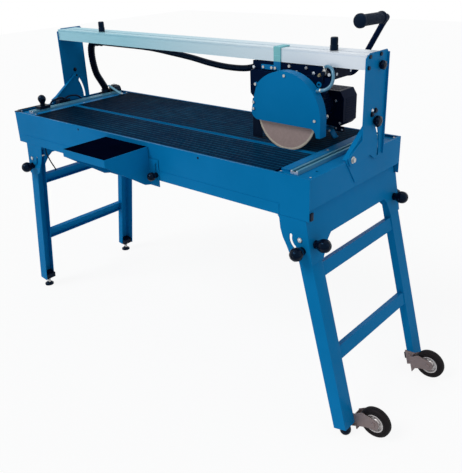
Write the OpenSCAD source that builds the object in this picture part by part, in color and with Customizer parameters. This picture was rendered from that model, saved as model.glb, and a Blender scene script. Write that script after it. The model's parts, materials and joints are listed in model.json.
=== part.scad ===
// Bridge tile cutter on folding legs, with a tilting beam and a water tub.
// The geometry is drawn about the middle of the tub's front rim: x = 0 at mid length,
// y = 0 on the front wall, z = 0 on the rim. place() then stands it on the floor.

/* [Tub] */
// Length of the water tub
tub_len = 1660; // [1380:20:2000]
// Depth of the water tub, front to rear
tub_depth = 596; // [520:4:720]
// Height of the tub walls
tub_wall_h = 142; // [116:2:172]
// Height of the rim above the floor
rim_h = 940; // [860:5:1100]
// Thickness of the painted sheet
sheet = 2; // [1.5:0.5:3]
// Length of each end zone beside the mats
end_zone = 146; // [136:2:176]
// Height of the side rails along the bottom edge
side_rail_h = 38; // [30:1:46]

/* [Deck] */
// Width of the blade slot between the two decks
slot_w = 22; // [18:1:28]
// Distance from the front wall to the blade plane
slot_y = 238; // [210:2:270]
// Thickness of the ribbed mats
mat_t = 8; // [6:1:10]
// Spacing of the ribs on the mats
rib_pitch = 11; // [9:1:16]
// Height of the deck supports
support_h = 30; // [24:2:40]

/* [Bridge] */
// Width of the beam, front to rear
beam_w = 100; // [90:2:112]
// Height of the beam
beam_h = 48; // [40:2:58]
// Clear height from the rim to the underside of the beam
beam_clear = 286; // [262:2:320]
// Distance from the front wall to the beam's front face
beam_y = 301; // [290:1:316]
// Width of each post
post_w = 140; // [130:2:160]
// Thickness of the post and bracket plates
plate = 4; // [3:0.5:5]
// Largest tilt of the bridge, in degrees
tilt_max = 45; // [20:1:45]

/* [Saw] */
// Diameter of the blade
blade_d = 250; // [200:5:270]
// Thickness of the blade's steel core
blade_t = 2; // [1.6:0.2:3]
// Diameter of the blade's bore
blade_bore = 25.4; // [20:0.2:30]
// How far the blade reaches below the rim
cut_below = 6; // [4:1:12]
// Position of the blade's centre along the tub, from mid length
blade_x = 566; // [520:2:580]
// Width of the blade guard
guard_w = 38; // [34:1:44]
// Clearance between the blade's rim and the guard
guard_gap = 28; // [22:1:32]
// Radius of the motor
motor_r = 70; // [60:1:76]
// Travel of the carriage to the left
travel = 985; // [700:5:1000]

/* [Legs] */
// Width of the leg's outer flange
leg_w = 50; // [44:1:56]
// Width of the leg's web
leg_web = 60; // [50:1:70]
// Thickness of the leg's sheet
leg_t = 3; // [2.5:0.5:4]
// Height of the crossbars
crossbar_h = 48; // [40:2:56]
// Height of the leg pivots below the rim
pivot_drop = 211; // [200:1:240]
// Distance of the right pivot from the tub's end
inset_right = 33; // [33:1:60]
// Distance of the left pivot from the tub's end
inset_left = 85; // [70:1:110]
// Splay of the right leg, in degrees
splay_right = 14.4; // [6:0.2:16]
// Splay of the left leg, in degrees
splay_left = 8.4; // [5:0.2:14]
// Diameter of the castor wheels
castor_d = 116; // [90:2:130]
// Diameter of the knob heads
knob_d = 48; // [40:1:54]

/* [Side table] */
// Length of the side table
table_len = 250; // [200:5:320]
// Depth of the side table
table_depth = 210; // [160:5:260]

/* [Hidden] */
$fn = 64;

blue = [0.02, 0.44, 0.67];
dark = [0.03, 0.04, 0.10];
alu = [0.80, 0.84, 0.87];
steel = [0.62, 0.63, 0.64];
rubber = [0.07, 0.07, 0.09];

gap = 0.3;       // running clearance between bodies
fit = 0.05;      // radial clearance of a pin in its bore

// Tub
half = tub_len / 2;
lip = 9;                         // width of the rim flange
mat_edge = 11;                   // from a wall to the mat
end_inset = 25;                  // the tub's bottom is shorter than its rim at the right end
end_rise = side_rail_h + 0.3;    // how far the right bracket climbs above the tub's bottom
mat_half = half - end_zone;
slot_lo = slot_y - slot_w / 2;
slot_hi = slot_y + slot_w / 2;
deck_z = -mat_t;                 // top of the deck sheet
drain_r = 16;
drain_x = -430;
drain_y = 300;

// Tilt
pivot_z = 4;
post_y = beam_y - 5;
post_top = beam_clear + beam_h + 3;
plate_x = half + gap;            // inner face of the quadrant
post_x = plate_x + plate + gap;  // inner face of the post's web
tilt_r = 169;                    // radius of the tilt stud from the pivot
tilt_a = 38;                     // angle of the tilt stud
pin_r = 6;
stud_r = 5;
tilt_knob_d = 40;
low_knob_h = 23;

// Beam and saw
beam_top = beam_clear + beam_h;
beam_half = half + plate + 2 * gap;
blade_r = blade_d / 2;
blade_z = blade_r - cut_below;
guard_r = blade_r + guard_gap;
guard_front = slot_y - guard_w / 2;
guard_t = 2;
plate_y = slot_y + guard_w / 2 + 26;     // front face of the motor plate
motor_plate_t = 6;
carriage_left = blade_x - 198;
carriage_right = blade_x + 154;
carriage_h = 30;
strap_x = blade_x - 100;
strap_w = 30;
track_drop = 12;                 // the carriage runs this far below the beam

// Legs
leg_y = 1.5 + gap;               // outer face of the front leg's flange
leg_out = leg_w / 2 - 1;         // web's outer face from the leg's axis
leg_in = leg_w - leg_out;
leg_top_r = leg_w / 2 + 1;
pivot_r = 6;
pad_r = 22;                      // radius of a levelling foot's pad
lock_r = 38;                     // radius of the lock stud from the leg's pivot
lock_slot = 11;
stop_drop = 80;                  // the leg's web meets the end plate this far below the pivot
lean_less = 4;                   // the end plate leans this much less than the leg
right_x = half - inset_right;
left_x = half - inset_left;
foot_h = 38;
leg_len_right = (rim_h - pivot_drop) / cos(splay_right) - foot_h + 0.6;
foot_h_left = 47;
leg_len_left = (rim_h - pivot_drop) / cos(splay_left) - foot_h_left;
bar_drops = [102, 415];          // tops of the two crossbars below the pivot
fold_right = 90 + splay_right;
fold_left = 90 + splay_left;

// Side table
table_x = -160;                  // left end of the side table
table_z = -15;                   // top of the side table
table_drop = 153;                // height of its end panels at the wall

// The whole object's extent, so that it stands with its middle over the origin
wheel_x = right_x + 272;
x_high = wheel_x + castor_d / 2;
x_low = min(-left_x - (rim_h - pivot_drop - 14) * tan(splay_left) - pad_r,
    -post_x - plate - gap - low_knob_h);
y_low = -table_depth - 2;
y_high = tub_depth + 1.5 + gap + 12 + 0.96 * knob_d;

module place() { translate([-(x_high + x_low) / 2, -(y_high + y_low) / 2, rim_h]) children(); }
module left_side() { mirror([1, 0, 0]) children(); }
// Lays a drawing of x and z into the x-z plane, t thick, with its front face at y
module wall_xz(y, t) { translate([0, y + t, 0]) rotate([90, 0, 0]) linear_extrude(t) children(); }
// Lays a drawing of y and z into the y-z plane, t thick, with its left face at x
module wall_yz(x, t) { translate([x, 0, 0]) rotate([90, 0, 90]) linear_extrude(t) children(); }
module box(lo, hi) { translate(lo) cube(hi - lo); }
module rod_y(x, z, y0, y1, r) { translate([x, y0, z]) rotate([-90, 0, 0]) cylinder(r = r, h = y1 - y0); }
module rod_x(y, z, x0, x1, r) { translate([x0, y, z]) rotate([0, 90, 0]) cylinder(r = r, h = x1 - x0); }
function arc(c, r, a0, a1, n) = [for (i = [0:n]) let (a = a0 + (a1 - a0) * i / n) c + r * [cos(a), sin(a)]];
// A curved slot of width w at radius r, between the angles lo and hi, with round ends
module arc_slot(r, w, lo, hi) {
    polygon(concat(arc([0, 0], r + w / 2, lo, hi, 24),
        [for (k = [1:7]) r * [cos(hi), sin(hi)] + w / 2 * [cos(hi + k * 22.5), sin(hi + k * 22.5)]],
        arc([0, 0], r - w / 2, hi, lo, 24),
        [for (k = [1:7]) r * [cos(lo), sin(lo)] - w / 2 * [cos(lo + k * 22.5), sin(lo + k * 22.5)]]));
}

// A round-headed clamp knob on +Z: the head, its neck and a stud reaching back to -stud
module ball_knob(stud, r = stud_r, d = knob_d) {
    color(dark) {
        cylinder(r = d * 0.24, h = 16);
        translate([0, 0, 12]) cylinder(r1 = d * 0.24, r2 = d * 0.4, h = 12);
        translate([0, 0, 12 + d * 0.46]) sphere(d = d);
        translate([0, 0, -stud]) cylinder(r = r, h = stud + 1);
    }
}

// Low hand knob that sits right on its washer, on +Z
module low_knob(stud, r, d) {
    color(dark) {
        rotate_extrude() polygon([[0, 0], [0.3 * d, 0], [0.3 * d, 3], [0.45 * d, 6], [0.5 * d, 10],
            [0.5 * d, 14], [0.45 * d, 19], [0.3 * d, low_knob_h], [0, low_knob_h]]);
        translate([0, 0, -stud]) cylinder(r = r, h = stud + 1);
    }
}

// Hexagon head on +Z
module bolt_head(r, h) { cylinder(r = r, h = h, $fn = 6); }

// A tube of radius r along the given points, with a ring of n corners at each point
function unit(v) = v / norm(v);
function tangent(p, i) = unit(p[min(i + 1, len(p) - 1)] - p[max(i - 1, 0)]);
function side_of(t) = unit(cross(t, abs(t[2]) < 0.9 ? [0, 0, 1] : [0, 1, 0]));
// Sideways directions that turn as little as possible from point to point
function sides(p, i, u) = i == len(p) ? [] :
    let (t = tangent(p, i), w = unit(u - (u * t) * t)) concat([w], sides(p, i + 1, w));
function ring(c, t, u, r, n) = let (v = cross(t, u))
    [for (k = [0:n - 1]) c + r * (cos(360 * k / n) * u + sin(360 * k / n) * v)];
module tube_along(p, r, n = 8) {
    m = len(p);
    us = sides(p, 0, side_of(tangent(p, 0)));
    pts = [for (i = [0:m - 1]) each ring(p[i], tangent(p, i), us[i], r, n)];
    walls = [for (i = [0:m - 2]) for (k = [0:n - 1]) let (a = i * n + k, b = i * n + (k + 1) % n)
        each [[b + n, b, a], [a + n, b + n, a]]];
    caps = [[for (k = [0:n - 1]) k], [for (k = [n - 1:-1:0]) (m - 1) * n + k]];
    polyhedron(points = pts, faces = concat(walls, caps), convexity = 6);
}
// The same points with each corner rounded over a length d
function rounded(p, d, n = 4) = concat([p[0]], [for (i = [1:len(p) - 2])
    let (before = p[i - 1] - p[i], after = p[i + 1] - p[i],
        a = p[i] + min(d, 0.45 * norm(before)) * unit(before), b = p[i] + min(d, 0.45 * norm(after))
            * unit(after))
    for (k = [0:n]) let (u = k / n) (1 - u) * (1 - u) * a + 2 * u * (1 - u) * p[i] + u * u * b],
    [p[len(p) - 1]]);

// ---- Tub ----

module water_tub() place() {
    floor_z = -tub_wall_h;
    low_right = half - end_inset;
    color(blue) difference() {
        union() {
            difference() {
                union() {
                    box([-half, 0, floor_z + end_rise], [half, tub_depth, 0]);
                    box([-half, 0, floor_z], [low_right, tub_depth, 0]);
                }
                box([-half + sheet, sheet, floor_z + end_rise + sheet], [half - sheet, tub_depth - sheet,
                    1]);
                box([-half + sheet, sheet, floor_z + sheet], [low_right - sheet, tub_depth - sheet, 0]);
            }
            // corner wings that close the front and rear walls at the right end
            for (y = [0, tub_depth - sheet]) box([low_right, y, floor_z], [half, y + sheet,
                floor_z + end_rise]);
            // rim flange
            difference() {
                box([-half, 0, -sheet], [half, tub_depth, 0]);
                box([-half + lip, lip, -sheet - 1], [half - lip, tub_depth - lip, 1]);
            }
        }
        translate([drain_x, drain_y, floor_z - 1]) cylinder(r = drain_r, h = sheet + 2);
        rod_y(-347, -14, -1, sheet + 1, 3);
    }
}

module side_rails() place() color(blue) {
    x0 = -left_x - 32;
    x1 = right_x - 86;
    difference() {
        for (y = [-1.5, tub_depth]) box([x0, y, -tub_wall_h], [x1, y + 1.5, -tub_wall_h + side_rail_h]);
        rod_y(table_knob_x, table_knob_z, -3, 0, stud_r + fit);
    }
}

// Angle at which the end plate leans, and its inner face at height z below the rim, from the pivot
function stop_x(splay) = stop_drop * tan(splay) + leg_out / cos(splay) + gap;
function end_face(splay, z) = stop_x(splay) - (z + pivot_drop + stop_drop) * tan(splay - lean_less);

// One lobe's outline about the leg's pivot, in x and z
module lobe_outline(splay) {
    top = pivot_drop - tub_wall_h - gap;
    low = -80;
    polygon(concat([[end_face(splay, top - pivot_drop) + 1.5, top], [-86, top]],
        arc([-100, top - 16], 16, 60, 0, 4), [[-80, 22], [-70, -8], [-55, -34]],
        arc([-8, -40], 40, 205, 275, 8), [[end_face(splay, low - pivot_drop) + 1.5, low + 0.5]]));
}

module leg_bracket(px, splay, rise) {
    lean = splay - lean_less;
    top = -tub_wall_h - gap;
    corner = 14;                  // the end plate starts this far in from the walls
    lobe_in = 108;                // width of a lobe at the end
    low = -80 - pivot_drop;
    t = 3;
    // heights along the leaning plate, from its lower edge
    h = function(z) (z - low) / cos(lean);
    brow = h(top) - 1;
    crest = h(top + rise) - 1;
    difference() {
        union() {
            for (y = [-1.5, tub_depth - 1.5])
                translate([px, 0, -pivot_drop]) wall_xz(y, t) lobe_outline(splay);
            // end plate with a lobe at each side, leaning outwards
            difference() {
                translate([px + end_face(splay, low), 0, low]) rotate([0, -lean, 0]) wall_yz(0, t)
                    polygon(concat([[tub_depth + 1.5, brow], [tub_depth + 1.5, 0], [tub_depth - 66, 0],
                        [tub_depth - lobe_in + 22, h(-234)], [tub_depth - lobe_in + 8, h(-219)],
                        [lobe_in + 20, h(-219)], [lobe_in - 2, h(-236)], [66, 0], [-1.5, 0], [-1.5, brow]],
                        rise > 0 ? [[corner, brow], [corner, crest], [tub_depth - corner, crest],
                            [tub_depth - corner, brow]] : []));
                // studs of the end knobs
                for (y = [end_knob_y, tub_depth - end_knob_y]) end_knob_at(px, splay, y)
                    translate([0, 0, -10]) cylinder(r = stud_r + 0.4, h = 20);
            }
            // flange under the tub's floor
            box([px - 84, 1, top - t], [px + end_face(splay, top) + 1, tub_depth - 1, top]);
        }
        // pivot bores and lock slots
        translate([px, 0, -pivot_drop]) {
            rod_y(0, 0, -3, tub_depth + 3, pivot_r + fit);
            wall_xz(-3, tub_depth + 6) arc_slot(lock_r, lock_slot, -192, -90 + splay);
        }
    }
}

// The end knobs stand square on the leaning end plate
end_knob_y = 32;
end_knob_z = -232;
module end_knob_at(px, splay, y) {
    translate([px + end_face(splay, end_knob_z), y, end_knob_z]) rotate([0, 90 - (splay - lean_less), 0])
        children();
}

module leg_brackets() place() color(blue) {
    leg_bracket(right_x, splay_right, end_rise);
    left_side() leg_bracket(left_x, splay_left, 0);
}

module deck_panel(y0, y1, fold_at) {
    box([-mat_half, y0, deck_z - sheet], [mat_half, y1, deck_z]);
    box([-mat_half, fold_at, deck_z - 24], [mat_half, fold_at + sheet, deck_z - sheet]);
}

module deck_panels() place() color(blue) {
    deck_panel(sheet + 0.5, slot_lo, slot_lo - sheet);
    deck_panel(slot_hi, tub_depth - sheet - 0.5, slot_hi);
}

// A rubber mat with ribs along x, between y0 and y1
module ribbed_mat(y0, y1) {
    rib_w = rib_pitch * 0.55;
    valley = -2.5;
    count = floor((y1 - y0 - rib_w) / rib_pitch);
    start = y0 + (y1 - y0 - count * rib_pitch - rib_w) / 2;
    ribs = [for (i = [0:count]) let (y = start + i * rib_pitch)
        each [[y, valley], [y + 1, 0], [y + rib_w - 1, 0], [y + rib_w, valley]]];
    wall_yz(-mat_half, 2 * mat_half)
        polygon(concat([[y1, deck_z], [y0, deck_z], [y0, valley - 0.5], [start - 0.01, valley - 0.5]], ribs,
            [[start + count * rib_pitch + rib_w + 0.01, valley - 0.5], [y1, valley - 0.5]]));
}

module deck_mats() place() color(rubber) {
    ribbed_mat(mat_edge, slot_lo);
    ribbed_mat(slot_hi, tub_depth - mat_edge);
}

support_xs = [for (i = [-2:2]) i * mat_half * 0.46];
module deck_supports() place() color(steel) {
    top = deck_z - sheet;
    for (x = support_xs) difference() {
        box([x - 15, sheet, top - support_h], [x + 15, tub_depth - sheet, top]);
        box([x - 13, sheet - 1, top - support_h - 1], [x + 13, tub_depth, top - sheet]);
        // the folds of the deck sheets pass through
        for (y = [slot_lo - sheet - 0.5, slot_hi - 0.5]) box([x - 16, y, top - 24], [x + 16, y + sheet + 1,
            top + 1]);
    }
    // ledges under the ends of the decks
    for (s = [-1, 1]) for (y = [sheet, slot_hi + sheet + 1])
        box([s * (mat_half - 14) - 8, y, top - 3], [s * (mat_half - 14) + 8,
            y == sheet ? slot_lo - sheet - 0.5 : tub_depth - sheet, top]);
}

quadrant_slope = 36;             // lean of its front edge, from level
quadrant_flange = 13;            // its front edge is bent inwards by this much
module quadrant() {
    apex = -85;
    stud = [slot_y + tilt_r * cos(tilt_a), pivot_z + tilt_r * sin(tilt_a)];
    inward = [sin(quadrant_slope), -cos(quadrant_slope)];
    top = stud - 17 * inward;
    low = top - (top[1] - 9) / sin(quadrant_slope) * [cos(quadrant_slope), sin(quadrant_slope)];
    wall_yz(plate_x, plate) difference() {
        polygon(concat([[slot_y + 30, apex], [slot_y + 77, apex], [slot_y + 152, 112]],
            arc(stud, 17, 20, 90 + quadrant_slope, 6), [low, [slot_y - 29, -2]]));
        translate([slot_y, pivot_z]) circle(r = pin_r + fit);
        translate(stud) circle(r = stud_r + fit);
    }
    wall_yz(plate_x - quadrant_flange, quadrant_flange + plate)
        polygon([low, top, top + plate * inward, low + plate * inward]);
    // pad that carries the plate on the end wall
    box([half, slot_y + 36, -70], [plate_x, slot_y + 70, -6]);
}

module tilt_quadrants() place() color(blue) { quadrant(); left_side() quadrant(); }

rail_x = half - 83;
rail_w = 29;
rail_h = 14;
rail_z = deck_z;
module fence_rail() {
    wall_xz(34, tub_depth - 68) translate([rail_x, rail_z]) difference() {
        translate([-rail_w / 2, 0]) square([rail_w, rail_h]);
        translate([-rail_w / 2 + 2.5, 2.5]) square([rail_w - 5, rail_h - 5]);
        translate([-5, rail_h - 3]) square([10, 4]);
    }
}
module fence_rails() place() color(alu) { fence_rail(); left_side() fence_rail(); }

module end_cover() {
    difference() {
        union() {
            box([mat_half, sheet, rail_z - sheet], [half - sheet, tub_depth - sheet, rail_z]);
            // raised edge strip beside the mats
            box([mat_half, 48, rail_z], [mat_half + 34, tub_depth - 48, -1]);
            for (y = [sheet, tub_depth - sheet - 12])
                box([mat_half + 40, y, rail_z - 20], [half - sheet, y + 12, rail_z - sheet]);
        }
        // hand hole near the corner and a water return
        translate([half - 24, 20, rail_z - 3]) cylinder(r = 9, h = 5);
        translate([half - 43, 104, rail_z - 3]) cylinder(r = 5, h = 5);
    }
}
module end_covers() place() color(blue) { end_cover(); left_side() end_cover(); }

module drain_plug() place() color(dark) translate([drain_x, drain_y, -tub_wall_h]) {
    translate([0, 0, -0.01]) cylinder(r = drain_r - 0.2, h = sheet + 0.01);
    translate([0, 0, sheet]) cylinder(r = drain_r + 6, h = 4);
    translate([0, 0, -8]) cylinder(r = drain_r - 3, h = 8);
}

module water_pump() place() color(dark) translate([-half + 210, tub_depth - 130, -tub_wall_h + sheet]) {
    box([-40, -32, 0], [40, 32, 52]);
    translate([0, 0, 52]) cylinder(r = 24, h = 18);
    translate([24, 0, 70]) rotate([0, 90, 0]) cylinder(r = 7, h = 30);
    translate([0, 0, 60]) box([-6, -6, 0], [26, 6, 16]);
}

// Conduit clamp on the rear left corner, with the lead's connector beside the rail
clamp_x = -half + 34;
clamp_y = tub_depth - 84;
module cable_entry() place() color(dark) {
    box([clamp_x - rise_r - 4, clamp_y - rise_r - 6, rail_z], [clamp_x + rise_r + 4, clamp_y + rise_r + 8,
        4]);
    difference() {
        translate([clamp_x, clamp_y, 4]) cylinder(r = rise_r + 4.5, h = 14);
        translate([clamp_x, clamp_y, 8]) cylinder(r = rise_r + 1.2, h = 20);
    }
    // connector of the pump's lead, lying on the left end cover
    box([-half + 22, 214, rail_z], [-half + 52, 262, 16]);
    rod_y(-half + 37, 6, 262, 284, 7);
}

module pivot_bolts() place() color(steel) {
    // leg pivots
    for (s = [[1, right_x], [-1, left_x]]) for (y = [0, 1]) {
        y0 = y == 0 ? -1.5 - 4 : tub_depth + 1.5 + 4;
        d = y == 0 ? 1 : -1;
        translate([s[0] * s[1], y0, -pivot_drop]) rotate([-90 * d, 0, 0]) {
            bolt_head(9, 4);
            cylinder(r = pivot_r, h = 4 + 3 + gap + leg_web + 1);
        }
    }
    // tilt pivots, through the quadrant and the post
    for (s = [-1, 1]) translate([0, slot_y, pivot_z]) rotate([0, 90 * s, 0]) {
        translate([0, 0, plate_x]) cylinder(r = pin_r, h = 2 * plate + 2 * gap + 1);
        translate([0, 0, post_x + plate + gap]) cylinder(r = 12, h = 2);
        translate([0, 0, post_x + plate + gap + 2]) bolt_head(9, 6);
    }
}

// ---- Bridge ----

post_lip = 7;                    // its rear edge is bent outwards by this much
gusset_top = 58;
module post() {
    rear = post_y + post_w;
    wall_yz(post_x, plate) difference() {
        polygon(concat([[post_y, post_top - 14], [post_y, gusset_top], [slot_y - 29, 14]],
            arc([slot_y, pivot_z], 22, 195, 270, 6), [[slot_y + 118, -8], [slot_y + 148, -30],
            [rear, -34], [rear, post_top - 6], [rear - 6, post_top], [post_y + 26, post_top]]));
        translate([slot_y, pivot_z]) {
            circle(r = pin_r + fit);
            arc_slot(tilt_r, 2 * stud_r + 2, tilt_a - tilt_max - 0.5, tilt_a + 0.3);
        }
        for (p = screw_at) translate(p) circle(r = 3.2);
        translate(post_knob_at) circle(r = stud_r + fit);
    }
    box([post_x + plate - 1, rear - plate, -20], [post_x + plate + post_lip, rear, post_top - 8]);
}
module post_right() place() color(blue) post();
module post_left() place() color(blue) left_side() post();

screw_at = [[beam_y + 15, beam_top - 7], [beam_y + 85, beam_top - 7], [beam_y + 9, beam_clear + 6]];
post_knob_at = [beam_y + 86, beam_clear + 6];
channel_h = 28;                  // rear channel for the rollers
channel_d = 30;
channel_z = beam_clear + 10;
tslot_y = beam_y + 40;           // middle of the T-slot on top

module rail_beam() place() color(alu) difference() {
    wall_yz(-beam_half, 2 * beam_half) difference() {
        translate([beam_y, beam_clear]) square([beam_w, beam_h]);
        // front chamber, rear roller channel, T-slot and the shadow groove in front
        translate([beam_y + 16, beam_clear + 13]) square([beam_w - channel_d - 22, beam_h - 28]);
        translate([beam_y + beam_w - channel_d, channel_z]) square([channel_d + 1, channel_h]);
        translate([tslot_y - 4.2, beam_top - 10]) square([8.4, 11]);
        translate([tslot_y - 8.2, beam_top - 10]) square([16.4, 5]);
        translate([beam_y - 1, beam_top - 8]) square([3, 2.5]);
    }
    // screw ports at both ends
    for (s = [-1, 1]) for (p = screw_at)
        rod_x(p[0], p[1], s * beam_half - 30, s * beam_half + 30, 3.2);
    for (s = [-1, 1]) rod_x(post_knob_at[0], post_knob_at[1], s * beam_half - 18, s * beam_half + 18,
        stud_r + fit);
}

module beam_fittings() place() color(dark) {
    for (s = [-1, 1]) for (p = screw_at) translate([0, p[0], p[1]]) rotate([0, 90 * s, 0]) {
        translate([0, 0, post_x - 24]) cylinder(r = 3, h = plate + 25);
        translate([0, 0, post_x + plate]) cylinder(r = 6.5, h = 5);
    }
    // clip of the conduit under the beam
    translate(conduit_joint + [8, 0, 0]) difference() {
        union() {
            rotate([0, 90, 0]) cylinder(r = conduit_r + 2.6, h = 9);
            box([0, -5, 0], [9, 5, beam_clear - conduit_joint[2]]);
        }
        translate([-1, 0, 0]) rotate([0, 90, 0]) cylinder(r = conduit_r + 0.4, h = 11);
    }
}

// A travel stop clamped in the T-slot, with a rubber bumper
stop_r = 14;
stop_left_x = strap_x - travel - stop_r - 16;
stop_right_x = half - 142;
module travel_stop(x) translate([x, tslot_y, beam_top]) {
    translate([-9, -7.6, -9.6]) cube([18, 15.2, 4]);
    translate([-6, -3.7, -9.6]) cube([12, 7.4, 10]);
    translate([0, 0, gap]) cylinder(r = stop_r, h = 17);
    translate([0, 0, 17]) cylinder(r = stop_r - 1.5, h = 3);
    translate([0, 0, 20]) cylinder(r = stop_r - 1, h = 20);
    translate([0, 0, 40]) cylinder(r1 = stop_r - 1, r2 = stop_r - 3, h = 3);
}
module stop_left() place() color(dark) travel_stop(stop_left_x);
module stop_right() place() color(dark) travel_stop(stop_right_x);

// ---- Carriage ----

body_low = beam_clear - 40;      // underside of the carriage
body_top = beam_clear - 3;
cheek_y = beam_y + beam_w + 1.5;
cheek_t = 5.5;
skirt_t = 4;
roller_xs = [blade_x - 110, blade_x + 110];
roller_r = channel_h / 2 - gap;
roller_z = channel_z + channel_h / 2;
axle_r = 5;
conduit_r = 12.5;               // conduit along the beam
rise_r = 17;                     // wider conduit from the tub up to the beam
carriage_gland = [carriage_left, beam_y + 91, body_low + 18];

module carriage_body() place() color(dark) {
    box([carriage_left, plate_y + motor_plate_t, body_low], [carriage_right, cheek_y + cheek_t,
        body_low + 6]);
    box([carriage_left, beam_y, body_low], [carriage_right, beam_y + skirt_t, body_top]);
    box([carriage_left, cheek_y, body_low], [carriage_right, cheek_y + cheek_t, beam_top - 6]);
    for (x = [carriage_left, carriage_right - 6])
        box([x, beam_y, body_low], [x + 6, cheek_y + cheek_t, body_top]);
    for (x = roller_xs) rod_y(x, roller_z, cheek_y - channel_d + 1, cheek_y + 1, axle_r);
    // gland of the conduit
    translate(carriage_gland) rotate([0, -90, 0]) difference() {
        cylinder(r = conduit_r + 4.5, h = 16);
        translate([0, 0, 2]) cylinder(r = conduit_r + 1, h = 15);
    }
    // boss for the handle
    rod_y(blade_x + 38, body_low + 14, cheek_y + 1, cheek_y + cheek_t + 14, 13);
}

module roller(x) {
    y0 = beam_y + beam_w - channel_d + 3;
    difference() {
        rod_y(x, roller_z, y0, y0 + channel_d - 5, roller_r);
        rod_y(x, roller_z, y0 - 1, y0 + channel_d, axle_r + fit);
    }
}
module roller_left() place() color(steel) roller(roller_xs[0]);
module roller_right() place() color(steel) roller(roller_xs[1]);

strap_front = beam_y - skirt_t - gap;
module front_strap() place() color(blue) {
    box([strap_x, strap_front, body_low + 12], [strap_x + strap_w, strap_front + skirt_t,
        beam_top + gap + skirt_t]);
    box([strap_x, strap_front, beam_top + gap], [strap_x + strap_w, tslot_y + 12, beam_top + gap + skirt_t]);
    box([strap_x - 56, strap_front, body_low + 10], [strap_x + strap_w, strap_front + skirt_t,
        body_low + 27]);
    // spacers back to the carriage's skirt
    for (x = [strap_x - 46, strap_x + 8]) rod_y(x, body_low + 18, strap_front + 1, beam_y, 6);
}

bore_gap = 8;
module motor_plate() place() color(dark) difference() {
    wall_xz(plate_y, motor_plate_t) difference() {
        polygon([[carriage_left, body_low + 6], [carriage_left, body_low - 78], [blade_x - 96, blade_z - 52],
            [blade_x - 60, blade_z - 76], [blade_x + 66, blade_z - 76], [blade_x + 104, blade_z - 36],
            [blade_x + 118, blade_z + 66], [carriage_right, body_low - 18], [carriage_right, body_low + 6]]);
        translate([blade_x, blade_z]) circle(r = motor_shield_r + fit);
    }
    for (a = guard_studs) rod_y(blade_x + a[0], blade_z + a[1], plate_y - 1, plate_y + motor_plate_t + 1, 4);
}

motor_shield_r = 32;
motor_y = plate_y + motor_plate_t;
motor_len = 148;
shaft_r = blade_bore / 2 - fit;
rotor_r = motor_r - 20;
module motor_housing() place() color(dark) {
    difference() {
        union() {
            rod_y(blade_x, blade_z, motor_y, motor_y + motor_len, motor_r - 5);
            rod_y(blade_x, blade_z, plate_y, motor_y + 1, motor_shield_r);
            translate([blade_x, motor_y + 14, blade_z]) for (a = [0:15:345]) rotate([0, a, 0])
                translate([-1.6, 0, motor_r - 8]) cube([3.2, motor_len - 28, 8]);
            rod_y(blade_x, blade_z, motor_y, motor_y + 12, motor_r);
        }
        rod_y(blade_x, blade_z, motor_y + 14, motor_y + motor_len + 1, motor_r - 11);
        rod_y(blade_x, blade_z, plate_y - 1, motor_y + 15, shaft_r + fit);
    }
}

cover_left = blade_x - 92;
cover_right = blade_x + 109;
cover_low = blade_z - 73;
cover_top = blade_z + 57;
cover_y = motor_y + motor_len;
cover_len = 108;
module cover_outline(inset, c) {
    x0 = cover_left + inset;
    x1 = cover_right - inset;
    z0 = cover_low + inset;
    z1 = cover_top - inset;
    polygon([[x0 + c, z0], [x1 - c, z0], [x1, z0 + c], [x1, z1 - 1.6 * c], [x1 - c, z1], [x0 + c, z1],
        [x0, z1 - c], [x0, z0 + c]]);
}
module motor_cover() place() color(dark) difference() {
    union() {
        wall_xz(cover_y, cover_len - 16) cover_outline(0, 16);
        wall_xz(cover_y + cover_len - 17, 9) cover_outline(5, 16);
        wall_xz(cover_y + cover_len - 9, 9) cover_outline(14, 18);
    }
    wall_xz(cover_y + 3, cover_len - 24) cover_outline(4, 14);
    rod_y(blade_x, blade_z, cover_y - 1, cover_y + 4, rotor_r + 1);
}

// Outline of the guard about the blade's centre, drawn in by an inset
module guard_outline(inset) {
    r = guard_r - inset;
    low = inset > 0 ? -80 : -29;
    toe = inset > 0 ? -80 : -58;
    left = -(guard_r - 11) + inset;
    polygon(concat(arc([0, 0], r, 0, 140, 48), [[left + 12, 55], [left, 6]],
        arc([left + 30, low + 32], 30, 190, 265, inset > 0 ? 1 : 8), [[118, low], [128,
            low - (inset > 0 ? 0 : 5)],
        [134, toe + (inset > 0 ? 0 : 15)], [137, toe], [r, toe]]));
}
// Studs that hold the guard on the motor plate, about the blade's centre
guard_studs = [[4, guard_r - 14], [-128, 34], [131, 0]];
guard_nozzle = 38;
module blade_guard() place() color(blue) difference() {
    union() {
        translate([blade_x, 0, blade_z]) difference() {
            wall_xz(guard_front, guard_w) guard_outline(0);
            wall_xz(guard_front + guard_t, guard_w - 2 * guard_t) guard_outline(guard_t);
            rod_y(0, 0, guard_front + guard_w - guard_t - 1, guard_front + guard_w + 1, 34);
        }
        // lugs at the left edge, spacers to the motor plate and the water nozzle
        translate([blade_x, 0, blade_z]) {
            for (z = [99, 34, 11]) rod_y(-(guard_r - 24) - (z == 99 ? -8 : 2), z, guard_front - 1,
                guard_front + 4, 7);
            for (a = guard_studs) rod_y(a[0], a[1], guard_front + guard_w - 0.5, plate_y, 7);
            translate([0, slot_y, 0]) rotate([0, 90 - guard_nozzle, 0]) rotate([0, 0, 0])
                translate([0, 0, guard_r - 1]) rotate([0, 0, 0]) cylinder(r = 4.5, h = 18);
        }
    }
}

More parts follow.
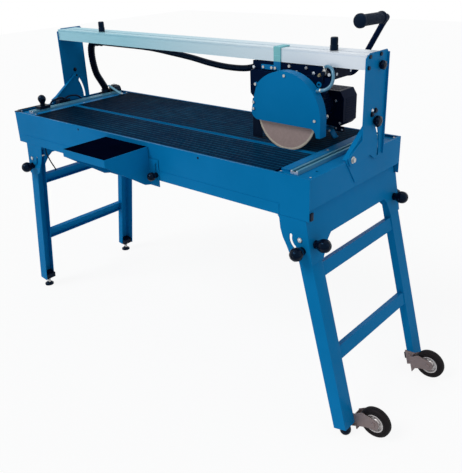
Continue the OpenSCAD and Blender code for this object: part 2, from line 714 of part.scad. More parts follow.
module head_bolts() place() color(steel) {
    for (p = [[4, guard_r - 14], [-(guard_r - 24) + 8, 99], [-(guard_r - 24) - 2, 34], [-(guard_r - 24)
        - 2, 11], [131, 0]]) {
        front = abs(p[0]) > 100 && p[0] < 0 ? guard_front - 1 : guard_front;
        rod_y(blade_x + p[0], blade_z + p[1], front - 3.5, front, 5);
    }
    // through bolts of the motor plate
    for (a = guard_studs) translate([blade_x + a[0], plate_y, blade_z + a[1]]) rotate([-90, 0, 0]) {
        cylinder(r = 4, h = motor_plate_t);
        translate([0, 0, motor_plate_t]) bolt_head(7.5, 5);
    }
    for (x = [blade_x - 33, blade_x + 39]) translate([x, beam_y, beam_clear - 11]) rotate([90, 0, 0])
        bolt_head(6, 4);
    for (x = [strap_x - 46, strap_x - 8, strap_x + 8])
        translate([x, strap_front, body_low + 18]) rotate([90, 0, 0]) bolt_head(5.5, 3.5);
}

valve = [blade_x + 120, beam_y, body_low + 20];
module water_valve() place() color(steel) translate(valve) {
    rotate([90, 0, 0]) cylinder(r = 9, h = 20);
    translate([0, -11, 0]) cylinder(r = 4.5, h = 22);
    translate([0, -11, 6]) cylinder(r = 7, h = 6);
}
module valve_lever() place() color(dark) translate(valve + [0, -20 - gap, 0]) rotate([90, 0, 0]) {
    cylinder(r = 8, h = 5);
    translate([-3.5, -26, 1]) cube([7, 26, 3]);
    translate([0, -26, 1]) cylinder(r = 3.5, h = 3);
}

nozzle_tip = [blade_x, slot_y, blade_z] + (guard_r + 4) * [cos(guard_nozzle), 0, sin(guard_nozzle)];
valve_tip = valve + [0, -11, 14];
// Points of the water hose, about the blade's centre
hose_points = [[124, 52, 162], [134, 48, 166], [150, 42, 166], [164, 34, 154], [170, 26, 134], [166, 16,
    114],
    [153, 6, 103]];
module water_hose() place() color([0.25, 0.45, 0.6, 0.8])
    tube_along(concat([valve_tip, valve_tip + [0, 0, 6]],
        [for (p = hose_points) [blade_x, slot_y, blade_z] + p], [nozzle_tip]), 6.5, 12);

handle_start = [blade_x + 38, cheek_y + cheek_t, body_low + 14];
grip_x = blade_x + 234;
grip_y = beam_y + 149;
grip_z = beam_top + 98;
grip_len = 132;
bar_r = 10;
bar_y = cheek_y + 94;
bar_points = [handle_start + [0, 4, 0], [blade_x + 40, cheek_y + 42, body_low + 4],
    [blade_x + 62, cheek_y + 80, body_low - 14], [blade_x + 104, bar_y, body_low - 14],
    [blade_x + 130, bar_y, body_low + 14], [blade_x + 216, bar_y, grip_z - 20], [grip_x, bar_y - 6, grip_z],
    [grip_x, grip_y - 10, grip_z + 1], [grip_x, grip_y - grip_len + 4, grip_z + 3]];
module handle_bar() place() color(dark) tube_along(rounded(bar_points, 16, 4), bar_r, 18);
module handle_grip() place() color(rubber) translate([grip_x, grip_y, grip_z]) rotate([90 - 1.3, 0, 0])
    difference() {
    union() {
        cylinder(r = 18.5, h = grip_len);
        cylinder(r = 21, h = 8);
        translate([0, 0, grip_len]) cylinder(r = 23, h = 12);
        translate([0, 0, grip_len + 12]) cylinder(r1 = 23, r2 = 17, h = 5);
    }
    translate([0, 0, -1]) cylinder(r = bar_r + 0.3, h = grip_len + 1);
}

// ---- Blade ----

module saw_blade() place() color([0.58, 0.49, 0.46]) difference() {
    union() {
        rod_y(blade_x, blade_z, slot_y - blade_t / 2, slot_y + blade_t / 2, blade_r - 7);
        difference() {
            rod_y(blade_x, blade_z, slot_y - blade_t / 2 - 0.3, slot_y + blade_t / 2 + 0.3, blade_r);
            rod_y(blade_x, blade_z, slot_y - blade_t, slot_y + blade_t, blade_r - 8);
        }
    }
    rod_y(blade_x, blade_z, slot_y - 5, slot_y + 5, blade_bore / 2);
}
module blade_flanges() place() color(steel) difference() {
    union() {
        for (s = [-1, 1]) rod_y(blade_x, blade_z, slot_y + (s > 0 ? blade_t / 2 : -blade_t / 2 - 6),
            slot_y + (s > 0 ? blade_t / 2 + 6 : -blade_t / 2), 30);
        translate([blade_x, slot_y - blade_t / 2 - 6, blade_z]) rotate([90, 0, 0]) bolt_head(16, 7);
    }
    rod_y(blade_x, blade_z, slot_y - 30, slot_y + 30, blade_bore / 2);
}
module motor_shaft() place() color(steel) {
    rod_y(blade_x, blade_z, slot_y - blade_t / 2 - 14, motor_y + motor_len + 12, shaft_r);
    rod_y(blade_x, blade_z, motor_y + 26, motor_y + motor_len - 34, rotor_r);
    translate([blade_x, motor_y + motor_len - 12, blade_z]) rotate([-90, 0, 0]) {
        cylinder(r = 24, h = 10);
        for (a = [0:40:320]) rotate([0, 0, a]) translate([20, -1.2, 0]) cube([rotor_r - 20, 2.4, 22]);
    }
}

// ---- Legs ----

// Channel of one leg about its pivot, hanging down -Z, with the web at +X and the outer flange at y = 0
module leg_channel(len) intersection() {
    translate([0, 0, -len]) linear_extrude(len + leg_top_r)
        polygon([[-leg_in, 0], [leg_out, 0], [leg_out, leg_web], [leg_out - leg_web / 2, leg_web],
            [leg_out - leg_web / 2, leg_web - leg_t], [leg_out - leg_t, leg_web - leg_t], [leg_out - leg_t,
                leg_t],
            [-leg_in, leg_t]]);
    union() {
        rod_y(0, 0, -1, leg_web + 1, leg_top_r);
        box([-leg_w, -1, -len - 1], [leg_w, leg_web + 1, 0]);
    }
}

module leg_frame(len) {
    inner = leg_y + leg_web;
    bar_x = leg_out - leg_t;
    difference() {
        union() {
            translate([0, leg_y, 0]) leg_channel(len);
            translate([0, tub_depth - leg_y, 0]) mirror([0, 1, 0]) leg_channel(len);
            for (z = bar_drops) difference() {
                box([bar_x - 22, inner - 1, -z - crossbar_h], [bar_x, tub_depth - inner + 1, -z]);
                box([bar_x - 23, inner - 2, -z - crossbar_h + leg_t], [bar_x - leg_t, tub_depth - inner + 2,
                    -z - leg_t]);
            }
        }
        rod_y(0, 0, 0, tub_depth, pivot_r + fit);
        for (y = [leg_y - 1, tub_depth - leg_y - leg_t - 1]) rod_y(0, -lock_r, y, y + leg_t + 2,
            stud_r + fit);
    }
}

module at_leg_right() { translate([right_x, 0, -pivot_drop]) rotate([0, -splay_right, 0]) children(); }
module at_leg_left() { left_side() translate([left_x, 0, -pivot_drop]) rotate([0, -splay_left, 0])
    children(); }
module leg_frame_right() place() color(blue) at_leg_right() leg_frame(leg_len_right);
module leg_frame_left() place() color(blue) at_leg_left() leg_frame(leg_len_left);

// Both feet of a frame sit in the middle of their channels
foot_ys = [leg_y + leg_web / 2, tub_depth - leg_y - leg_web / 2];
// Plug that fills the end of a channel, between its flanges
module foot_plug(y, len) {
    w = leg_web / 2 - leg_t;
    box([-leg_in + 4, y - w, -len], [leg_out - leg_t, y + w, -len + 26]);
}
glide_r = 20;
module leg_glides() place() color(dark) for (y = foot_ys) {
    at_leg_right() {
        foot_plug(y, leg_len_right);
        translate([0, y, -leg_len_right - foot_h + glide_r]) cylinder(r = glide_r, h = foot_h - glide_r + 1);
        translate([0, y, -leg_len_right - foot_h + glide_r]) sphere(r = glide_r);
    }
}

module levelling_feet() place() color(dark) for (y = foot_ys) {
    drop = rim_h - pivot_drop - 14;
    at_leg_left() {
        foot_plug(y, leg_len_left);
        translate([0, y, -drop / cos(splay_left)]) cylinder(r = 6, h = foot_h_left);
    }
    left_side() translate([left_x + drop * tan(splay_left), y, -rim_h]) {
        cylinder(r = pad_r, h = 7);
        translate([0, 0, 7]) cylinder(r1 = pad_r, r2 = 11, h = 8);
        translate([0, 0, 14]) sphere(r = 9);
    }
}

castor_w = 30;
castor_r = castor_d / 2;
castor_z = -rim_h + castor_r + 9;
castor_tyre = 22;                // thickness of the tyre over its rim
fork_t = 3;
fork_out = castor_w / 2 + 2;     // from the wheel's middle to a fork side

castor_y = leg_y + leg_web + 0.02 + fork_t + fork_out;
castor_ys = [castor_y, tub_depth - castor_y];
// Height along the right leg, from its pivot, of the point on the web's face at height z
function along_leg(z) = (z + pivot_drop - leg_out * sin(splay_right)) / cos(splay_right);
function leg_face(z) = right_x - (z + pivot_drop) * tan(splay_right) + leg_out / cos(splay_right);
// One side of a fork; back is how far it reaches along the leg's flange
module fork_side(y, back) {
    top = castor_z + 6;
    low = castor_z - 56;
    difference() {
        wall_xz(y, fork_t) polygon(concat([[leg_face(low) + 0.02 - back, low],
            [leg_face(top) + 0.02 - back, top]], back > 0 ? [[leg_face(top) + 5, top + 3]] : [], [
            [leg_face(top) + 34, castor_z + 29]], arc([wheel_x, castor_z], 21, 80, -75, 10),
            [[wheel_x - 28, castor_z - 25], [wheel_x - 52, castor_z - 35]]));
        rod_y(wheel_x, castor_z, y - 3, y + fork_t + 3, 5);
    }
}
module castor_forks() place() color(steel) for (y = castor_ys) {
    front = y < tub_depth / 2;
    fork_side(y - fork_out - fork_t, front ? 38 : 0);
    fork_side(y + fork_out, front ? 0 : 38);
    // back plate between the two sides
    half_w = fork_out + fork_t - 0.8;
    at_leg_right() box([leg_out + 0.02, y - half_w, along_leg(castor_z - 54)],
        [leg_out + fork_t, y + half_w, along_leg(castor_z + 3)]);
    // heads of the screws into the leg's flange
    for (z = [castor_z - 42, castor_z - 8]) rod_y(leg_face(z) - 19, z, front ? y - fork_out - 1 :
        y + fork_out - 4, front ? y - fork_out + 4 : y + fork_out + 1, 6);
    // axle with its heads
    rod_y(wheel_x, castor_z, y - fork_out - fork_t - 3, y + fork_out + fork_t + 3, 5);
    for (s = [-fork_out - fork_t - 4, fork_out + fork_t - 1]) rod_y(wheel_x, castor_z, y + s, y + s + 5, 8);
}

module castor_wheel(y) place() color(rubber) translate([wheel_x, y + castor_w / 2, castor_z]) rotate([90,
    0, 0])
    rotate_extrude() polygon([[5 + fit, 0], [16, 0], [16, 4], [castor_r - castor_tyre, 6],
        [castor_r - castor_tyre, 1], [castor_r - 9, 1], [castor_r - 2, 5], [castor_r, castor_w / 2 - 4],
        [castor_r, castor_w / 2 + 4], [castor_r - 2, castor_w - 5], [castor_r - 9, castor_w - 1],
        [castor_r - castor_tyre, castor_w - 1], [castor_r - castor_tyre, castor_w - 6], [16, castor_w - 4],
        [16, castor_w], [5 + fit, castor_w]]);
module wheel_front() castor_wheel(castor_ys[0]);
module wheel_rear() castor_wheel(castor_ys[1]);

// Lead held between a gland under the tub and a clip on the left frame's upper crossbar
stay_bar_x = leg_out - leg_t - 12;
stay_y = leg_y + leg_web + 14;
stay_end = [-left_x - stay_bar_x * cos(splay_left) - bar_drops[0] * sin(splay_left), stay_y + 51,
    stay_bar_x * sin(splay_left) - bar_drops[0] * cos(splay_left) - pivot_drop + 0.5];
stay_top = -tub_wall_h - 3.3;      // under the bracket's top flange
stay_points = [[-left_x, stay_y, stay_top], [-left_x, stay_y, -pivot_drop + 3],
    stay_end + [4, -9, 24], stay_end + [0, 0, 9], stay_end];
module stay_lead() place() color(dark) tube_along(rounded(stay_points, 6, 3), 3, 8);

// ---- Side table ----

table_gap = 2;                   // from the tub's front wall to the table's back
knob_tab = 52;                   // width of the tab that the knob clamps
table_knob_x = table_x + table_len + 40;
table_knob_z = -120;
slot_up = 40;
slot_down = 15;
module side_table() place() color(blue) {
    x0 = table_x;
    x1 = table_x + table_len;
    y0 = -table_depth - table_gap;
    t = sheet;
    top = table_z - mat_seat;
    box([x0, y0, top - t], [x1, -table_gap - t, top]);
    box([x0, y0, table_z - 30], [x1, y0 + t, table_z]);
    for (x = [x0, x1 - t]) wall_yz(x, t)
        polygon([[y0 + t, table_z - 30], [y0 + 0.75 * table_depth, table_z - 0.86 * table_drop],
            [y0 + 0.86 * table_depth, table_z - 0.96 * table_drop], [-table_gap - t, table_z - table_drop],
            [-table_gap - t, table_z], [y0 + t, table_z]]);
    difference() {
        box([x0, -table_gap - t, table_z - table_drop], [x1 + knob_tab, -table_gap, table_z]);
        box([x1, -table_gap - t - 1, table_z - 45], [x1 + knob_tab + 1, 0, table_z + 1]);
        wall_xz(-table_gap - t - 1, t + 2) hull() {
            translate([table_knob_x, table_knob_z + slot_up]) circle(r = stud_r + 0.5, $fn = 32);
            translate([table_knob_x, table_knob_z - slot_down]) circle(r = stud_r + 0.5, $fn = 32);
        }
    }
}
mat_seat = 4;
module table_mat() place() color(rubber)
    box([table_x + sheet, -table_depth - table_gap + sheet, table_z - mat_seat],
        [table_x + table_len - sheet, -table_gap - sheet, table_z]);

// ---- Fence clamp ----

fence_y = 100;
fence_x = -rail_x;
module fence_block() place() color(dark) difference() {
    union() {
        box([fence_x - 20, fence_y - 28, rail_z + rail_h + gap], [fence_x + 20, fence_y + 28,
            rail_z + rail_h + 14]);
        // T-shaped foot in the rail
        box([fence_x - 4.6, fence_y - 20, rail_z + 6], [fence_x + 4.6, fence_y + 20, rail_z + rail_h + 1]);
        box([fence_x - rail_w / 2 + 3, fence_y - 20, rail_z + 3], [fence_x + rail_w / 2 - 3, fence_y + 20,
            rail_z + rail_h - 3.4]);
    }
    translate([fence_x, fence_y, rail_z + rail_h - 2]) cylinder(r = stud_r + fit, h = 20);
}

// ---- Knobs ----

fence_knob_d = 38;
module fence_knob() place() translate([fence_x, fence_y, rail_z + rail_h + 14 + gap])
    ball_knob(12, stud_r, fence_knob_d);
module table_knob() place() translate([table_knob_x, -table_gap - sheet - gap, table_knob_z]) rotate([90,
    0, 0])
    ball_knob(table_gap + sheet, stud_r, 34);

// A lock knob on the front or the rear flange, through the bracket's curved slot
module leg_knob_at(rear) {
    y = rear ? tub_depth + 1.5 + gap : -1.5 - gap;
    translate([0, y, -lock_r]) rotate([rear ? -90 : 90, 0, 0])
        ball_knob(3 + 2 * gap + leg_t);
}
module leg_knob_front_right() place() at_leg_right() leg_knob_at(false);
module leg_knob_rear_right() place() at_leg_right() leg_knob_at(true);
module leg_knob_front_left() place() at_leg_left() leg_knob_at(false);
module leg_knob_rear_left() place() at_leg_left() leg_knob_at(true);

end_plate_t = 3;
module end_knob(y) place() end_knob_at(right_x, splay_right, y)
    translate([0, 0, end_plate_t + gap]) ball_knob(end_plate_t + 1);
module end_knob_front() end_knob(end_knob_y);
module end_knob_rear() end_knob(tub_depth - end_knob_y);

// The tilt knob stands on its stud's axis, outside the post
module tilt_knob() translate([post_x + plate + gap, slot_y + tilt_r * cos(tilt_a),
    pivot_z + tilt_r * sin(tilt_a)])
    rotate([0, 90, 0]) low_knob(2 * plate + 2 * gap, stud_r, tilt_knob_d);
module tilt_knob_right() place() tilt_knob();
module tilt_knob_left() place() left_side() tilt_knob();
module post_knob() place() color(dark)
    translate([post_x + plate + gap, post_knob_at[0], post_knob_at[1]]) rotate([0, 90, 0]) {
        cylinder(r = 16, h = 14);
        translate([0, 0, 14]) cylinder(r1 = 16, r2 = 12, h = 5);
        translate([0, 0, -plate - gap - 14]) cylinder(r = stud_r, h = plate + gap + 15);
    }

// ---- Conduit ----

// where the risen part meets the part that hangs along the beam
conduit_joint = [-half + 135, beam_y + 120, beam_clear - 18];
rise_points = [[clamp_x, clamp_y, 9], [clamp_x, clamp_y, 20], [clamp_x + 2, clamp_y - 8, 36],
    [clamp_x + 4, clamp_y - 22, 58],
    [clamp_x + 8, clamp_y - 50, 104], [clamp_x + 12, clamp_y - 65, 155],
    [clamp_x + 19, conduit_joint[1] + 17, beam_clear - 81],
    [clamp_x + 34, conduit_joint[1] + 10, beam_clear - 44],
    [clamp_x + 61, conduit_joint[1] + 3, beam_clear - 24], conduit_joint + [-15, 0, 0], conduit_joint];
run_points = [conduit_joint + [gap, 0, 0], conduit_joint + [22, 0, 0], conduit_joint + [140, -1, 0],
    conduit_joint + [365, -1, -2], conduit_joint + [527, -3, -14], conduit_joint + [636, -5, -24],
    carriage_gland + [-324, 21, -33], carriage_gland + [-225, 17, -40], carriage_gland + [-130, 11, -37],
    carriage_gland + [-68, 5, -24], carriage_gland + [-40, 1, -8], carriage_gland + [-22, 0, -1],
    carriage_gland + [-12, 0, 0],
    carriage_gland + [-3, 0, 0]];
module conduit_rise() place() color(dark) tube_along(rounded(rise_points, 30, 3), rise_r, 12);
module conduit_run() place() color(dark) tube_along(rounded(run_points, 48, 3), conduit_r, 10);

water_tub();
side_rails();
leg_brackets();
deck_panels();
deck_mats();
deck_supports();
tilt_quadrants();
fence_rails();
end_covers();
drain_plug();
water_pump();
cable_entry();
pivot_bolts();
post_right();
post_left();
rail_beam();
beam_fittings();
stop_left();
stop_right();
carriage_body();
front_strap();
motor_plate();
motor_housing();
motor_cover();
blade_guard();
water_valve();
valve_lever();
water_hose();
handle_bar();
handle_grip();
head_bolts();
roller_left();
roller_right();
saw_blade();
blade_flanges();
motor_shaft();
leg_frame_left();
leg_frame_right();
levelling_feet();
leg_glides();
castor_forks();
wheel_front();
wheel_rear();
side_table();
table_mat();
table_knob();
fence_block();
fence_knob();
leg_knob_front_right();
leg_knob_rear_right();
leg_knob_front_left();
leg_knob_rear_left();
end_knob_front();
end_knob_rear();
tilt_knob_right();
tilt_knob_left();
post_knob();
conduit_rise();
conduit_run();
stay_lead();
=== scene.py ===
"""Bridge tile cutter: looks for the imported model.

All lengths are in metres in the model's own frame. M() turns a point given in
millimetres from the middle of the tub's front rim into that frame.
"""
import json
import math

import bmesh
import bpy
from mathutils import Matrix, Vector


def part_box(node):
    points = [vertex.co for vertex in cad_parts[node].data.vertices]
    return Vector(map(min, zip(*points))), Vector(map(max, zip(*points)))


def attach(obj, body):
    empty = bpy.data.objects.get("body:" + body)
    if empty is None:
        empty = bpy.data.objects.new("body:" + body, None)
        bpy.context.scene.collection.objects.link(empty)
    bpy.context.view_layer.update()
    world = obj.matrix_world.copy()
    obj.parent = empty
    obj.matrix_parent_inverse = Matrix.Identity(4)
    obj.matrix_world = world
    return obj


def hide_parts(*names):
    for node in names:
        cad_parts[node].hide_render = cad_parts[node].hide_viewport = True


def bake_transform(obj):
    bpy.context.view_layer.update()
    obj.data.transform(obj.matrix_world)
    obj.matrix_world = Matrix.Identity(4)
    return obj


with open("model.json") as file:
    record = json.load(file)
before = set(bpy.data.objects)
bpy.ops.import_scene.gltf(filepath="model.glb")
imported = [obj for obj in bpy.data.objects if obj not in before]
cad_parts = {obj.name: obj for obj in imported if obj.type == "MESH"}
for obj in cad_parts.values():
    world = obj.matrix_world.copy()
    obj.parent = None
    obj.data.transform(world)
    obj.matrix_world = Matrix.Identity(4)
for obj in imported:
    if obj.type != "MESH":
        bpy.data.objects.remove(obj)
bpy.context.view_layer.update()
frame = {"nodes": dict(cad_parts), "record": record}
nodes = frame["nodes"]

# ---- Frame of the machine ----

TUB_LO, TUB_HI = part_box("water_tub")
RIM_MIDDLE = Vector(((TUB_LO.x + TUB_HI.x) / 2, TUB_LO.y, TUB_HI.z))

UP, FRONT, REAR, RIGHT, LEFT = (0, 0, 1), (0, -1, 0), (0, 1, 0), (1, 0, 0), (-1, 0, 0)

# millimetres from the middle of the front rim, and degrees
RIGHT_PIVOT_X, LEFT_PIVOT_X, PIVOT_Z = 797, -745, -211
RIGHT_SPLAY, LEFT_SPLAY = 14.4, 8.4
RUN_Z = 268                          # middle of the conduit where the beam carries it
POST_FACE, INNER_POST_FACE = 838.7, -834.5
BODY_FACE, BODY_END = 289, 720       # front and right end of the carriage's body
STRAP_EDGE = 287                     # the strap's coat ends here


def M(x, y, z):
    """A point in millimetres from the front rim's middle, in the model's frame."""
    return RIM_MIDDLE + Vector((x, y, z)) / 1000


def route(*places):
    return [M(*p) for p in places]


def link(name, data):
    """A new object in the scene."""
    obj = bpy.data.objects.new(name, data)
    bpy.context.scene.collection.objects.link(obj)
    return obj


# ---- Camera ----

def add_camera(place, azimuth, elevation, roll, lens):
    """A camera turned by angles in degrees, its lens in millimetres."""
    az, el, ro = (math.radians(a) for a in (azimuth, elevation, roll))
    forward = Vector((-math.sin(az) * math.cos(el), math.cos(az) * math.cos(el), -math.sin(el)))
    right = Vector((math.cos(az), math.sin(az), 0))
    up = right.cross(forward)
    side = right * math.cos(ro) + up * math.sin(ro)
    top = up * math.cos(ro) - right * math.sin(ro)
    data = bpy.data.cameras.new("studio_camera")
    data.lens = lens
    data.sensor_width = 36
    data.clip_start = 0.01
    data.clip_end = 60
    cam = link("studio_camera", data)
    turn = Matrix((side, top, -forward)).transposed().to_4x4()
    cam.matrix_world = Matrix.Translation(place) @ turn
    bpy.context.scene.camera = cam


add_camera(M(1861, -1525, 659), azimuth=41.85, elevation=24.68, roll=-2.29, lens=47.78)

# ---- Material tools ----

SOCKETS = {"color": "Base Color", "rough": "Roughness", "metal": "Metallic", "coat": "Coat Weight",
           "coat_rough": "Coat Roughness", "specular": "Specular IOR Level", "gloss_tint": "Specular Tint"}


class Shader:
    """A small helper that adds nodes to one procedural material."""

    def __init__(self, name):
        self.mat = bpy.data.materials.new(name)
        self.mat.use_nodes = True
        self.tree = self.mat.node_tree
        self.bsdf = self.tree.nodes["Principled BSDF"]
        self.coords = None

    def add(self, kind, **values):
        node = self.tree.nodes.new(kind)
        for key, value in values.items():
            setattr(node, key, value)
        return node

    def join(self, a, b):
        self.tree.links.new(a, b)

    def object_coords(self, scale=(1, 1, 1)):
        if self.coords is None:
            self.coords = self.add("ShaderNodeTexCoord").outputs["Object"]
        mapping = self.add("ShaderNodeMapping")
        mapping.inputs["Scale"].default_value = scale
        self.join(self.coords, mapping.inputs["Vector"])
        return mapping.outputs["Vector"]

    def axes(self):
        """The object's own X, Y and Z as separate values."""
        parts = self.add("ShaderNodeSeparateXYZ")
        self.join(self.object_coords(), parts.inputs[0])
        return parts.outputs

    def noise(self, scale, detail=2.0, rough=0.5, stretch=(1, 1, 1)):
        tex = self.add("ShaderNodeTexNoise")
        tex.inputs["Scale"].default_value = scale
        tex.inputs["Detail"].default_value = detail
        tex.inputs["Roughness"].default_value = rough
        self.join(self.object_coords(stretch), tex.inputs["Vector"])
        return tex.outputs["Fac"]

    def ramp(self, fac, stops):
        node = self.add("ShaderNodeValToRGB")
        ramp = node.color_ramp
        while len(ramp.elements) < len(stops):
            ramp.elements.new(0.5)
        for element, (pos, color) in zip(ramp.elements, stops):
            element.position = pos
            element.color = (*color, 1) if len(color) == 3 else color
        self.join(fac, node.inputs["Fac"])
        return node.outputs["Color"]

    def span(self, fac, low, high, start=0.0, end=1.0):
        node = self.add("ShaderNodeMapRange")
        node.inputs["From Min"].default_value = start
        node.inputs["From Max"].default_value = end
        node.inputs["To Min"].default_value = low
        node.inputs["To Max"].default_value = high
        self.join(fac, node.inputs["Value"])
        return node.outputs["Result"]

    def mix(self, fac, a, b):
        """Color a where the factor is 0 and color b where it is 1."""
        node = self.add("ShaderNodeMix", data_type="RGBA")
        for socket, value in ((node.inputs["Factor"], fac), (node.inputs[6], a), (node.inputs[7], b)):
            if isinstance(value, tuple):
                socket.default_value = (*value, 1)
            else:
                self.join(value, socket)
        return node.outputs[2]

    def math(self, how, a, b=None):
        node = self.add("ShaderNodeMath", operation=how)
        for socket, value in zip(node.inputs, (a,) if b is None else (a, b)):
            if isinstance(value, (int, float)):
                socket.default_value = value
            else:
                self.join(value, socket)
        return node.outputs[0]

    def bump(self, height, strength, distance):
        node = self.add("ShaderNodeBump")
        node.inputs["Strength"].default_value = strength
        node.inputs["Distance"].default_value = distance
        if self.bsdf.inputs["Normal"].is_linked:
            self.join(self.bsdf.inputs["Normal"].links[0].from_socket, node.inputs["Normal"])
        self.join(height, node.inputs["Height"])
        self.join(node.outputs["Normal"], self.bsdf.inputs["Normal"])

    def set(self, **values):
        for key, value in values.items():
            socket = self.bsdf.inputs[SOCKETS[key]]
            if isinstance(value, tuple):
                socket.default_value = (*value, 1)
            elif isinstance(value, (int, float)):
                socket.default_value = value
            else:
                self.join(value, socket)


def scaled(color, by):
    """A colour made darker or lighter."""
    return tuple(min(1, c * by) for c in color)


def painted(name, color, rough=0.36, peel=0.12, drift=0.06):
    """Powder coat: a little orange peel and a slow drift of tone and gloss."""
    s = Shader(name)
    slow = s.noise(3.1, 3, 0.6)
    fine = s.noise(620, 2, 0.5)
    dark = scaled(color, 1 - drift)
    light = tuple(min(1, c * (1 + drift) + 0.002) for c in color)
    s.set(color=s.ramp(slow, [(0.3, dark), (0.7, light)]))
    patch = s.noise(28, 4, 0.62)
    s.set(rough=s.span(patch, rough - 0.05, rough + 0.08, 0.3, 0.7), specular=0.04,
          gloss_tint=tuple(min(1, 0.03 + c * 1.6) for c in color))
    s.bump(fine, peel, 0.0004)
    return s.mat


BLUE = (0.0012, 0.172, 0.42)
blue_paint = painted("blue powder coat", BLUE)
dark_paint = painted("dark coat", (0.0010, 0.0075, 0.032), rough=0.36, peel=0.1, drift=0.2)


def brushed(name, color, rough, along, metal, scratch=0.18, speckle=0.0, fade=None):
    """Bare metal with fine lines drawn along one direction; fade is (color, x from, x to)."""
    s = Shader(name)
    lines = s.noise(14, 6, 0.7, along)
    slow = s.noise(2.2, 2, 0.5)
    base = s.ramp(lines, [(0.25, scaled(color, 0.88)), (0.75, scaled(color, 1.12))])
    if fade:
        base = s.mix(s.span(s.axes()["X"], 0.0, 1.0, fade[1], fade[2]), base, fade[0])
    if speckle:
        spots = s.span(s.noise(240, 3, 0.6), 0.0, speckle, 0.52, 0.72)
        base = s.mix(spots, base, scaled(color, 0.45))
    s.set(color=base, metal=metal, specular=0.5)
    wear = s.math("ADD", lines, s.math("MULTIPLY", slow, 0.4))
    s.set(rough=s.span(wear, rough - 0.07, rough + 0.12, 0.3, 1.1))
    s.bump(lines, scratch, 0.0002)
    return s.mat


beam_metal = brushed("drawn aluminium", (0.32, 0.62, 0.73), 0.38, along=(1, 60, 60), metal=0.35,
                     fade=((0.80, 0.86, 0.93), M(-350, 0, 0).x, M(700, 0, 0).x))
rail_metal = brushed("rail aluminium", (0.10, 0.34, 0.48), 0.36, along=(60, 1, 60), metal=0.3)
zinc = brushed("zinc plate", (0.60, 0.60, 0.58), 0.30, along=(3, 3, 3), metal=0.9, scratch=0.08, speckle=0.25)
fork_metal = brushed("pressed fork steel", (0.27, 0.21, 0.205), 0.42, along=(6, 6, 14), metal=0.55,
                     scratch=0.1)


def moulded(name, color, rough, grain, size=900, specular=0.5, coat=0.0, tint=(0.10, 0.30, 0.62)):
    """Moulded plastic or rubber with a fine surface grain."""
    s = Shader(name)
    slow = s.noise(9, 3, 0.6)
    s.set(color=s.ramp(slow, [(0.3, scaled(color, 0.8)), (0.7, scaled(color, 1.25))]))
    s.set(rough=s.span(s.noise(60, 3, 0.6), rough - 0.05, rough + 0.07, 0.3, 0.7), specular=specular,
          coat=coat, coat_rough=0.12, gloss_tint=tint)
    s.bump(s.noise(size, 2, 0.5), grain, 0.0003)
    return s.mat


knob_black = moulded("knob phenolic", (0.0015, 0.002, 0.006), rough=0.2, grain=0.03, specular=0.3)
plain_black = moulded("black nylon", (0.0015, 0.0028, 0.009), rough=0.42, grain=0.2, size=1400, specular=0.35)


RIB_TOP, RIB_DEEP = 0.0002, 0.0022   # below the rim, the tops and the valleys of the ribs
RIB_PAIR, FIRST_RIB = 0.022, 9       # two ribs' pitch, and the front mat's first rib
DARKER_FROM, DARKER_TO = -740, -150        # the left end of the deck is darker


def ribbed_rubber(name, valley, top):
    """Mat rubber: dark in its valleys, with a painted highlight on the rib tops, stronger on every second rib
    and broken up by noise, and darker towards the left end.
    """
    s = Shader(name)
    axes = s.axes()
    level = M(0, 0, 0).z
    # the rib tops get the top colour as a painted highlight; every other rib's is weaker, and noise breaks it
    # into dashes
    high = s.span(axes["Z"], 0.0, 1.0, level - RIB_DEEP, level - RIB_TOP)
    rows = s.math("FRACT", s.math("DIVIDE", s.math("SUBTRACT", axes["Y"], M(0, FIRST_RIB, 0).y), RIB_PAIR))
    high = s.math("MULTIPLY", high, s.span(s.math("LESS_THAN", rows, 0.5), 0.42, 1.0))
    highlight_breaks = s.span(s.noise(34, 4, 0.65, (0.35, 1, 1)), 0.55, 1.0, 0.35, 0.65)
    patch = s.noise(5, 3, 0.6)
    ribs = s.mix(s.math("MULTIPLY", high, highlight_breaks), valley, top)
    mottled = s.mix(s.span(patch, 0.0, 0.35, 0.4, 0.75), ribs, scaled(valley, 1.9))
    # darker towards the deck's left end
    undarkened = s.span(axes["X"], 0.16, 1.0, M(DARKER_FROM, 0, 0).x, M(DARKER_TO, 0, 0).x)
    s.set(color=s.mix(undarkened, scaled(valley, 0.3), mottled))
    s.set(rough=s.span(s.noise(60, 3, 0.6), 0.42, 0.58, 0.3, 0.7), specular=0.01, gloss_tint=(0.03, 0.2, 0.6))
    s.bump(s.noise(1600, 2, 0.5), 0.25, 0.0003)
    return s.mat


# the second colour is the painted highlight on the rib tops
deck_rubber = ribbed_rubber("deck rubber", (0.0004, 0.0022, 0.018), (0.005, 0.078, 0.165))
table_rubber = moulded("table rubber", (0.0006, 0.0016, 0.0085), rough=0.52, grain=0.35, size=1600,
                       specular=0.0, tint=(0.04, 0.2, 0.55))
grip_rubber = moulded("grip rubber", (0.002, 0.004, 0.012), rough=0.55, grain=0.5, size=1300, specular=0.35)
tyre_rubber = moulded("tyre rubber", (0.004, 0.003, 0.004), rough=0.6, grain=0.4, size=1100, specular=0.35,
                      tint=(0.5, 0.45, 0.45))


def two_coat(name, low, high, level):
    """Coated below a height, bare and pale above it."""
    s = Shader(name)
    edge = s.span(s.noise(40, 3, 0.6), -0.0012, 0.0012)
    above = s.span(s.math("ADD", s.axes()["Z"], edge), 0.0, 1.0, level - 0.0008, level + 0.0008)
    lines = s.noise(18, 5, 0.6, (1, 30, 30))
    bare = s.ramp(lines, [(0.3, scaled(high, 0.86)), (0.7, scaled(high, 1.1))])
    s.set(color=s.mix(above, low, bare), metal=s.math("MULTIPLY", above, 0.3), specular=0.2,
          gloss_tint=(0.3, 0.7, 0.9), rough=s.span(lines, 0.34, 0.46))
    s.bump(s.noise(620, 2, 0.5), 0.1, 0.0004)
    return s.mat


